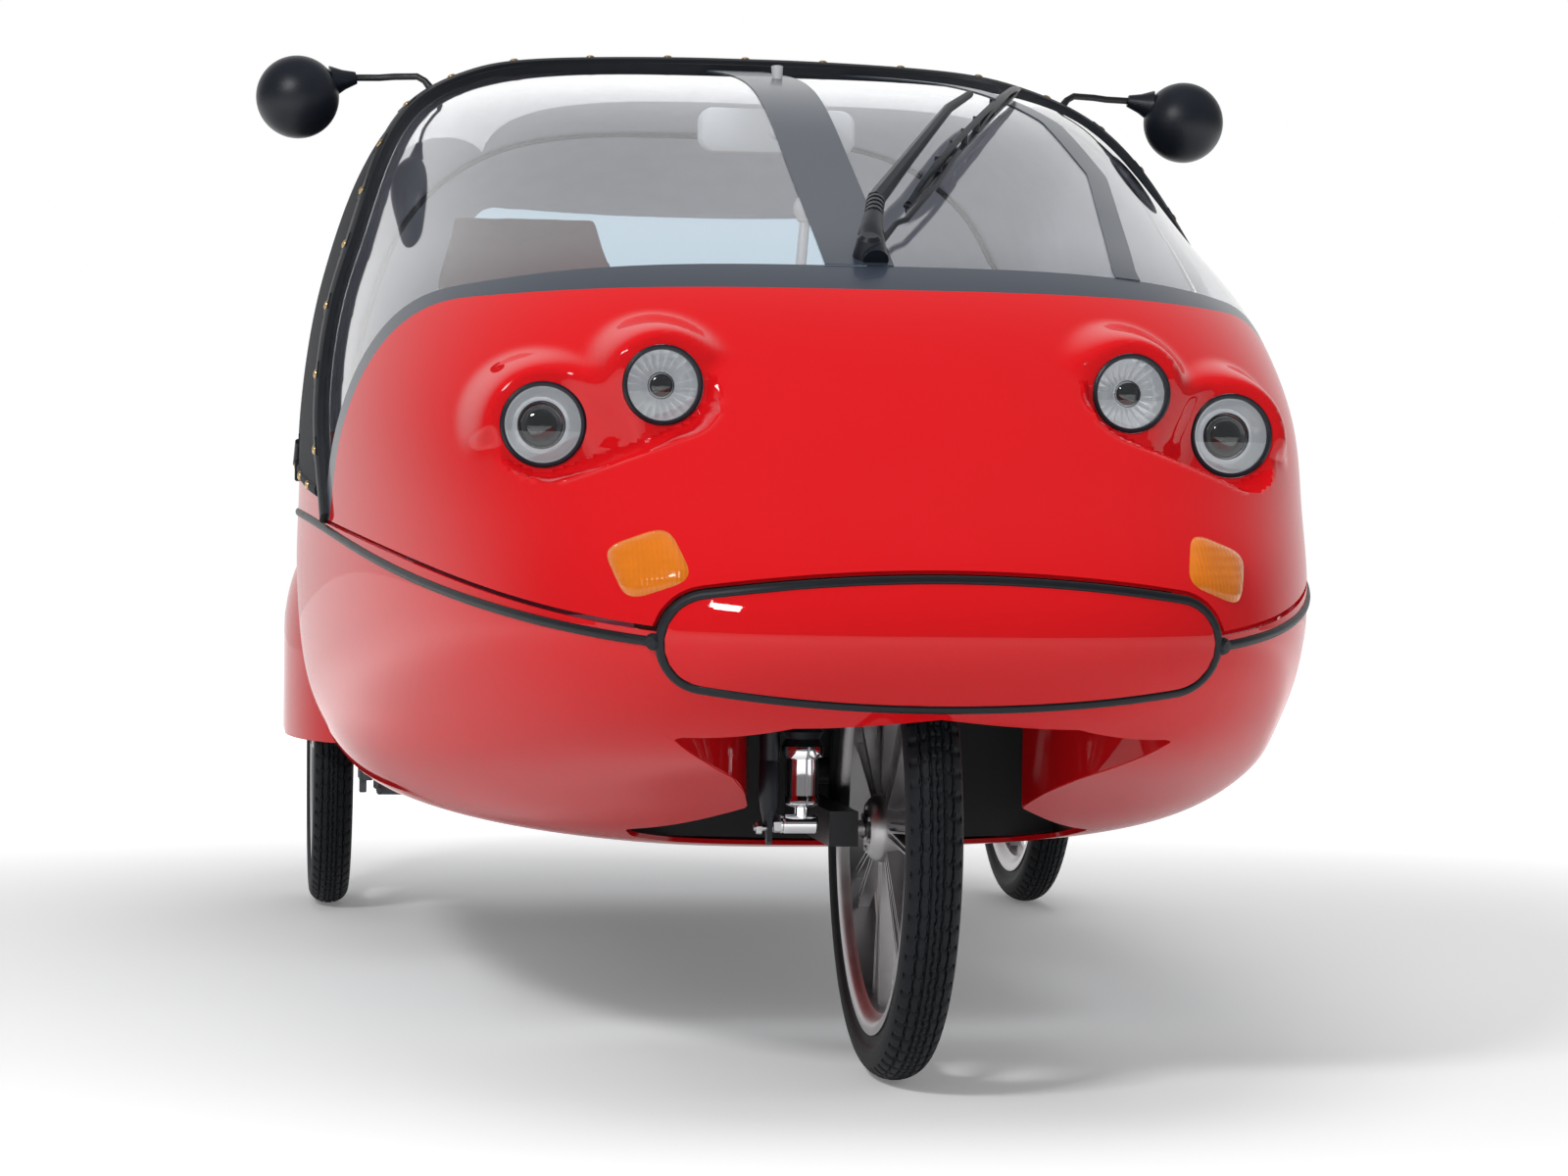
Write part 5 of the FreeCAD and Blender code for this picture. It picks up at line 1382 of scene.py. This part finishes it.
def inflate(piece, cap):
    """The pad swells like stuffed cloth, no point further than the cap."""
    cloth = piece.modifiers.new("cloth", "CLOTH")
    cloth.settings.use_pressure = True
    cloth.settings.uniform_pressure_force = CLOTH_PRESSURE
    cloth.settings.effector_weights.gravity = 0
    cloth.settings.tension_stiffness = 12
    cloth.settings.compression_stiffness = 12
    cloth.collision_settings.use_collision = False
    start = np.array([v.co[:] for v in piece.data.vertices])
    scene = bpy.context.scene
    for frame_number in range(1, CLOTH_FRAMES + 1):
        scene.frame_set(frame_number)
    mesh = evaluated(piece)
    scene.frame_set(1)
    end = np.array([v.co[:] for v in mesh.vertices])
    move = end - start
    length = np.linalg.norm(move, axis=1, keepdims=True)
    end = start + move * np.minimum(1, cap / np.maximum(length, 1e-9))
    mesh.vertices.foreach_set("co", end.ravel())
    swap_mesh(piece, mesh)


def sewn(mesh, count, along, low, high):
    """Sewn channels and an edge seam pressed into a pad."""
    points = np.array([v.co[:] for v in mesh.vertices])
    normals = np.array([v.normal[:] for v in mesh.vertices])
    width = high[0] - low[0]
    for k in range(count):
        x = low[0] + width * (0.17 + 0.66 * k / (count - 1))
        away = np.abs(points[:, 0] - x)
        points -= normals * (0.007 * np.exp(-(away / 0.007) ** 2))[:, None]
    axis = {"Y": 1, "Z": 2}[along]
    start = low[axis] + (high[axis] - low[axis]) * 0.30
    inside = (points[:, 0] > low[0] + width * 0.17) & (points[:, 0] < low[0] + width * 0.83)
    away = np.abs(points[:, axis] - start)
    points -= normals * (0.006 * np.exp(-(away / 0.007) ** 2) * inside)[:, None]
    mesh.vertices.foreach_set("co", points.ravel())


def build_seats():
    """Stuffed seat pads in the places of the CAD ones."""
    for node, name, shift, share, cap, channels, along in SEATS:
        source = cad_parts[node]
        mesh = source.data.copy()
        mesh.transform(source.matrix_world)
        low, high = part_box(node)
        centre = (low + high) / 2
        points = np.array([v.co[:] for v in mesh.vertices])
        points = np.array(centre) + (points - np.array(centre)) * np.array(share) + np.array(shift)
        mesh.vertices.foreach_set("co", points.ravel())
        piece = bpy.data.objects.new(name, mesh)
        bpy.context.scene.collection.objects.link(piece)
        remesh = piece.modifiers.new("remesh", "REMESH")
        remesh.mode = "VOXEL"
        remesh.voxel_size = SEAT_VOXEL
        swap_mesh(piece, evaluated(piece))
        inflate(piece, cap)
        finer = piece.modifiers.new("finer", "SUBSURF")
        finer.levels = 1
        swap_mesh(piece, evaluated(piece))
        sewn(piece.data, channels, along, np.array(low) + np.array(shift),
             np.array(high) + np.array(shift))
        piece.data.polygons.foreach_set("use_smooth", [True] * len(piece.data.polygons))
        piece.data.materials.clear()
        piece.data.materials.append(SEAT_CLOTH)
        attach(piece, "root")
        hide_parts(node)


# Front suspension
DAMPER_PLACE = (-0.094, -1.000)
LEG_PLACE = (-0.128, -1.000)


def ribs(radius, low, high, count, depth):
    """Profile of a ribbed rubber sleeve."""
    profile = []
    for k in range(count * 4 + 1):
        turn = 2 * math.pi * k / 4
        profile.append((radius - depth / 2 + depth / 2 * math.cos(turn),
                        low + (high - low) * k / (count * 4)))
    return profile


def hex_nut(centre, axis, radius, height):
    return lathe([(0.0, height), (radius * 0.86, height), (radius, height * 0.8), (radius, 0.0)], centre,
                 axis, 6)


def build_suspension():
    """Damper with its sleeve, collars and lower eye, and the leg beside it."""
    x, y = DAMPER_PLACE
    up = (0, 0, 1)
    sleeve = [(0.0, 0.530), (0.017, 0.530)] + ribs(0.0215, 0.342, 0.520, 12, 0.004)[::-1] + [(0.0, 0.340)]
    new_piece("damper_sleeve", *lathe(sleeve, (x, y, 0), up, 40), RUBBER, "steering")
    body = [(0.0, 0.343), (0.0205, 0.343), (0.0212, 0.340), (0.0212, 0.333), (0.0200, 0.330), (0.0162, 0.329),
            (0.0160, 0.320), (0.0160, 0.292), (0.0166, 0.290), (0.0180, 0.288), (0.0180, 0.283),
            (0.0150, 0.281),
            (0.0080, 0.279), (0.0080, 0.268), (0.0, 0.268)]
    eye = lathe([(0.0, -0.020), (0.0085, -0.020), (0.0100, -0.018), (0.0100, 0.014), (0.0085, 0.016),
                 (0.0, 0.016)],
                (x, y, 0.262), (1, 0, 0), 36)
    washer = lathe([(0.0, 0.0), (0.0098, 0.0), (0.0098, 0.002), (0.0, 0.002)], (x - 0.0225, y, 0.262),
                   (1, 0, 0), 24)
    new_piece("damper_body", *joined([lathe(body, (x, y, 0), up, 48), eye, washer]), CHROME, "steering",
              ("damper",), "chrome")
    nut = hex_nut((x - 0.0215, y - 0.001, 0.262), (-1, 0, 0), 0.0095, 0.0085)
    x, y = LEG_PLACE
    far_nut = hex_nut((x - 0.008, y - 0.002, 0.258), (-1, 0, 0), 0.0070, 0.0055)
    stud = tube([(x - 0.016, y - 0.002, 0.258), (x + 0.010, y - 0.002, 0.258)], 0.0032, 12)
    new_piece("damper_nuts", *joined([nut, far_nut, stud]), STEEL, "steering")
    leg = [(0.0, 0.530), (0.0095, 0.530), (0.0105, 0.500), (0.0105, 0.330), (0.0098, 0.3285),
           (0.0098, 0.3265),
           (0.0108, 0.325), (0.0110, 0.300), (0.0108, 0.288), (0.0090, 0.276), (0.0066, 0.266),
           (0.0056, 0.262),
           (0.0, 0.262)]
    fin = []
    for side in (-0.0026, 0.0026):
        for dy, z in ((-0.008, 0.300), (0.009, 0.300), (0.011, 0.275), (0.010, 0.254), (0.006, 0.2435),
                      (0.0, 0.2405),
                      (-0.006, 0.2435), (-0.009, 0.256)):
            fin.append((x + side, y + dy, z))
    count = len(fin) // 2
    plate = [list(range(count))[::-1], list(range(count, 2 * count))]
    plate += [[k, (k + 1) % count, (k + 1) % count + count, k + count] for k in range(count)]
    new_piece("leg_cover", *joined([lathe(leg, (x, y, 0), up, 32), (fin, plate)]), PLASTIC, "steering",
              ("guide_leg",), "steel_black")


# Cabin and small parts
INSIDE_MIRROR_HALF_HEIGHT = 0.029
INSIDE_MIRROR_STEPS = ((-0.0105, 0.90), (-0.009, 0.97), (-0.004, 1.0), (0.002, 1.0), (0.006, 0.95),
                       (0.009, 0.80),
                       (0.010, 0.5))
LINER_HOOP_Y = 0.715
TOP_SEAMS = ((0.560, -0.10), (0.860, 0.10))
KNOB_STALK = ((0.004, -0.075, 0.690), (0.012, -0.080, 0.760), (0.034, -0.085, 0.860), (0.042, -0.085, 0.955))


def build_lever():
    """Lever stalk with its knob."""
    knob = [(0.0, 0.030), (0.008, 0.029), (0.014, 0.024), (0.0165, 0.015), (0.0155, 0.006), (0.011, 0.0),
            (0.0095, -0.004), (0.0, -0.004)]
    axis = Vector(KNOB_STALK[-1]) - Vector(KNOB_STALK[-2])
    shapes = [tube(KNOB_STALK, [0.0085, 0.0080, 0.0070, 0.0065], 14), lathe(knob, KNOB_STALK[-1], axis, 32)]
    new_piece("lever_stalk", *joined(shapes), LIGHT_PLASTIC, "root")


def build_inside_mirror():
    """Inside mirror: a cushion-shaped shell, its boss and its stem."""
    low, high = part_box("inside_mirror")
    half_height = INSIDE_MIRROR_HALF_HEIGHT
    middle = Vector(((low.x + high.x) / 2, high.y - 0.004, low.z + half_height + 0.004))
    outline = rounded_rectangle((high.x - low.x) / 2, -half_height, half_height, 0.020, 8)
    points = []
    for depth, share in INSIDE_MIRROR_STEPS:
        across = share if share > 0.9 else 0.5 + share / 2
        points += [middle + Vector((px * across, depth, pz * share)) for px, pz in outline]
    rows, count = len(INSIDE_MIRROR_STEPS), len(outline)
    faces = bands(rows, count) + caps(rows, count)
    boss = [(0.0, -0.017), (0.009, -0.016), (0.012, -0.012), (0.013, -0.006), (0.013, 0.004)]
    stem_top = (middle.x, high.y - 0.004, high.z)
    shapes = [(points, faces), lathe(boss, middle, (0, 1, 0), 32),
              tube([middle + Vector((0, -0.002, 0.010)), middle + Vector((0, -0.004, 0.050)), stem_top],
                   [0.0060, 0.0052, 0.0075], 14)]
    new_piece("inside_mirror_set", *joined(shapes), LIGHT_PLASTIC, "canopy", ("inside_mirror",),
              "light_plastic")


def build_liner_seam():
    """Seam across the headliner, with its cord."""
    line, normals = hoop(leaning(LINER_HOOP_Y), BELT_Z)
    inward = line - normals * 0.0125
    seam = bead(inward, -normals, round_profile(0.0045, 0.0035))
    new_piece("headliner_seam", *seam, CASE, "root")
    cord = bead(inward + np.array([0, 0.006, 0]), -normals, round_profile(0.0015, 0.0020))
    new_piece("headliner_cord", *cord, SEAT_CLOTH, "root")


def build_window_welt():
    """Rubber edge round the rear window."""
    frame_line = rounded_rectangle(REAR_WINDOW_HALF_WIDTH, *REAR_WINDOW_Z, REAR_WINDOW_CORNER, 8)
    fine = []
    for k, (ax, az) in enumerate(frame_line):
        bx, bz = frame_line[(k + 1) % len(frame_line)]
        steps = max(int(math.hypot(bx - ax, bz - az) / 0.02), 1)
        fine += [(ax + (bx - ax) * t / steps, az + (bz - az) * t / steps) for t in range(steps)]
    places = [on_body(px, pz, True) for px, pz in fine]
    welt = bead(*zip(*places), round_profile(0.009, 0.0062, base=0.001), closed=True)
    new_piece("rear_window_welt", *welt, RUBBER, "root")


def build_top():
    """Seams, hem and snaps of the soft top."""
    seams = [bead(*hoop(leaning(y, lean), BELT_Z), round_profile(0.0035, 0.0048)) for y, lean in TOP_SEAMS]
    new_piece("top_seams", *joined(seams), TOP_CLOTH, "root", slot="fabric_top")
    path, normals = traced(above(BELT_Z))
    stay = behind_arch(ARCH_WIDTH + 0.010)(path) > 0
    first = int(np.nonzero(~stay)[0][-1]) + 1
    path, normals = np.roll(path, -first, axis=0), np.roll(normals, -first, axis=0)
    stay = np.roll(stay, -first)
    path, normals = every_few(path[stay], normals[stay], 0.015)
    new_piece("top_hem", *bead(path, normals, round_profile(0.008, 0.0055)), TOP_CLOTH, "root",
              slot="fabric_top")
    snaps = [snap(path[k], normals[k], 0.0052) for k in range(5, len(path) - 4, 10)]
    new_piece("hem_snaps", *joined(snaps), BRASS, "root")


def build_side_latches():
    """Latches on the body's sides."""
    latch = [box_shape((0.012, 0.050, 0.060), (0.584, 0.088, 0.650)),
             box_shape((0.016, 0.022, 0.030), (0.587, 0.070, 0.632)),
             tube([(0.590, 0.075, 0.668), (0.592, 0.110, 0.640)], 0.005, 12)]
    new_piece("side_latches", *mirrored_shape(joined(latch)), PLASTIC, "root", slot="plastic_black")


def build_hull_trays():
    """Small trays with their nuts under the hull."""
    tray = [box_shape((0.062, 0.120, 0.020), (0.442, 0.450, 0.199)),
            box_shape((0.020, 0.050, 0.016), (0.486, 0.452, 0.214)),
            box_shape((0.010, 0.014, 0.028), (0.490, 0.440, 0.203))]
    for place in ((0.480, 0.427, 0.212), (0.470, 0.391, 0.196)):
        tray.append(hex_nut(place, (0, -1, 0), 0.0042, 0.004))
    new_piece("hull_trays", *mirrored_shape(joined(tray)), CASE, "root")


# Camera, light and floor

def build_camera():
    data = bpy.data.cameras.new("camera")
    data.lens = LENS_MM
    data.sensor_width = 36.0
    data.sensor_fit = "HORIZONTAL"
    camera = bpy.data.objects.new("camera", data)
    forward = Vector((math.sin(CAMERA_YAW) * math.cos(CAMERA_PITCH),
                      math.cos(CAMERA_YAW) * math.cos(CAMERA_PITCH),
                      -math.sin(CAMERA_PITCH)))
    level = Vector((math.cos(CAMERA_YAW), -math.sin(CAMERA_YAW), 0))
    up = level.cross(forward)
    right = level * math.cos(CAMERA_ROLL) + up * math.sin(CAMERA_ROLL)
    top = -level * math.sin(CAMERA_ROLL) + up * math.cos(CAMERA_ROLL)
    turn = Matrix((right, top, -forward)).transposed().to_4x4()
    camera.matrix_world = Matrix.Translation(CAMERA_PLACE) @ turn
    bpy.context.scene.collection.objects.link(camera)
    bpy.context.scene.camera = camera


def area_light(name, place, target, size, power):
    data = bpy.data.lights.new(name, "AREA")
    data.shape = "RECTANGLE"
    data.size, data.size_y = size
    data.energy = power
    light = bpy.data.objects.new(name, data)
    light.location = place
    light.rotation_euler = (Vector(target) - Vector(place)).to_track_quat("-Z", "Y").to_euler()
    light.visible_glossy = name in MIRRORED_LIGHTS
    bpy.context.scene.collection.objects.link(light)


def eased(tree, value, low, high, to_low, to_high):
    """A value eased from one range into another."""
    limits = {"From Min": low, "From Max": high, "To Min": to_low, "To Max": to_high}
    ease = add_node(tree, "ShaderNodeMapRange", limits, {"Value": value})
    ease.interpolation_type = "SMOOTHSTEP"
    return ease.outputs["Result"]


def build_world():
    """White for the camera, a soft even light, and for reflections a studio that is darker in front."""
    world = bpy.data.worlds.new("studio")
    bpy.context.scene.world = world
    world.use_nodes = True
    tree = world.node_tree
    background = tree.nodes["Background"]
    background.inputs["Color"].default_value = (1, 1, 1, 1)
    ray = add_node(tree, "ShaderNodeLightPath").outputs
    place = add_node(tree, "ShaderNodeTexCoord").outputs["Generated"]
    split = add_node(tree, "ShaderNodeSeparateXYZ", (), {"Vector": place})
    gloss = eased(tree, split.outputs["Y"], *GLOSS_FADE, *GLOSS_LEVELS)
    feeds = {"Factor": ray["Is Glossy Ray"], "B": gloss}
    choice = add_node(tree, "ShaderNodeMix", {"A": WORLD_LEVEL}, feeds).outputs["Result"]
    seen = combined(tree, "MAXIMUM", ray["Is Camera Ray"], ray["Is Transmission Ray"])
    tree.links.new(combined(tree, "MAXIMUM", choice, seen), background.inputs["Strength"])


def floor_material():
    """Pale floor that keeps shadows and turns white further out for camera, glossy and transmission rays."""
    material = finish_of("floor_white", (0.92, 0.92, 0.92), 0.9, noise=0.5, vary=0.01, specular=0.0)
    tree = material.node_tree
    place = add_node(tree, "ShaderNodeTexCoord").outputs["Object"]
    size = add_node(tree, "ShaderNodeVectorMath", (), {0: place})
    size.operation = "LENGTH"
    far = eased(tree, size.outputs["Value"], *FLOOR_FADE, *FLOOR_GLOW)
    ray = add_node(tree, "ShaderNodeLightPath").outputs
    seen = combined(tree, "MAXIMUM", ray["Is Camera Ray"], ray["Is Transmission Ray"])
    seen = combined(tree, "MAXIMUM", seen, ray["Is Glossy Ray"])
    shader = tree.nodes["Principled BSDF"]
    shader.inputs["Emission Color"].default_value = (1, 1, 1, 1)
    tree.links.new(combined(tree, "MULTIPLY", far, seen), shader.inputs["Emission Strength"])
    return material


# Studio levels: each fade is from and to, over the world's Y or over metres of floor
WORLD_LEVEL = 0.36
GLOSS_FADE = (0.35, 0.97)
GLOSS_LEVELS = (0.22, 1.0)
FLOOR_FADE = (1.0, 3.6)
FLOOR_GLOW = (0.14, 0.85)
FLOOR_HALF_SIZE = 14.0
MIRRORED_LIGHTS = ("key",)
LIGHTS = (
    ("key", (-2.4, -3.6, 3.2), (0, -0.4, 0.5), (0.9, 0.6), 84),
    ("overhead", (0.3, -0.5, 3.4), (0.0, -0.3, 0.5), (2.6, 1.4), 36),
    ("fill", (3.8, -2.8, 1.8), (0, 0, 0.5), (1.6, 1.6), 12),
    ("back", (0.0, 4.0, 2.8), (0, 0.5, 0.6), (3.0, 2.0), 30),
)


def build_stage():
    """White room: floor, world and soft lights."""
    build_world()
    for name, place, target, size, power in LIGHTS:
        area_light(name, place, target, size, power)
    size = FLOOR_HALF_SIZE
    mesh = bpy.data.meshes.new("floor")
    mesh.from_pydata([(-size, -size, 0), (size, -size, 0), (size, size, 0), (-size, size, 0)], [],
                     [[0, 1, 2, 3]])
    floor = bpy.data.objects.new("floor", mesh)
    bpy.context.scene.collection.objects.link(floor)
    mesh.materials.append(floor_material())


SHELLS = ("hull_shell", "hood_shell", "rear_shell", "fender_shells", "mouth_plate")


def keep_shadow_grey():
    """The red shells cast their shadow, but tint no soft light on the floor."""
    for name in SHELLS:
        bpy.data.objects[name].visible_diffuse = False


def dress(node, material):
    """A carried-over CAD node gets its finish and smooth shading."""
    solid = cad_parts[node]
    solid.data.materials.clear()
    solid.data.materials.append(material)
    solid.data.polygons.foreach_set("use_smooth", [True] * len(solid.data.polygons))
    solid.data.set_sharp_from_angle(angle=math.radians(30))


PLAIN_NODES = {
    "front_housing": BLACK_PAINT, "rear_housings": BLACK_PAINT, "stem_bearing": SATIN,
    "hinge_brackets": SATIN,
    "hinge_arms": SATIN, "cabin_floor": PLASTIC, "battery_block": CASE, "motor_block": CASE,
    "steering_lever": LIGHT_PLASTIC, "rear_axle": SATIN, "rear_arms": SATIN, "rear_stub_axles": STEEL,
    "steering_yoke": SATIN, "swing_arm": SATIN, "front_axle": STEEL,
}

bpy.context.scene.view_settings.view_transform = "Standard"
build_body()
build_beads()
build_strips()
build_headlamps()
build_small_lamps()
build_opening_walls()
build_wheels()
build_wiper()
build_mirrors()
build_seats()
build_suspension()
build_lever()
build_inside_mirror()
build_liner_seam()
build_window_welt()
build_top()
build_side_latches()
build_hull_trays()
for node_name, node_material in PLAIN_NODES.items():
    dress(node_name, node_material)
keep_shadow_grey()
build_camera()
build_stage()
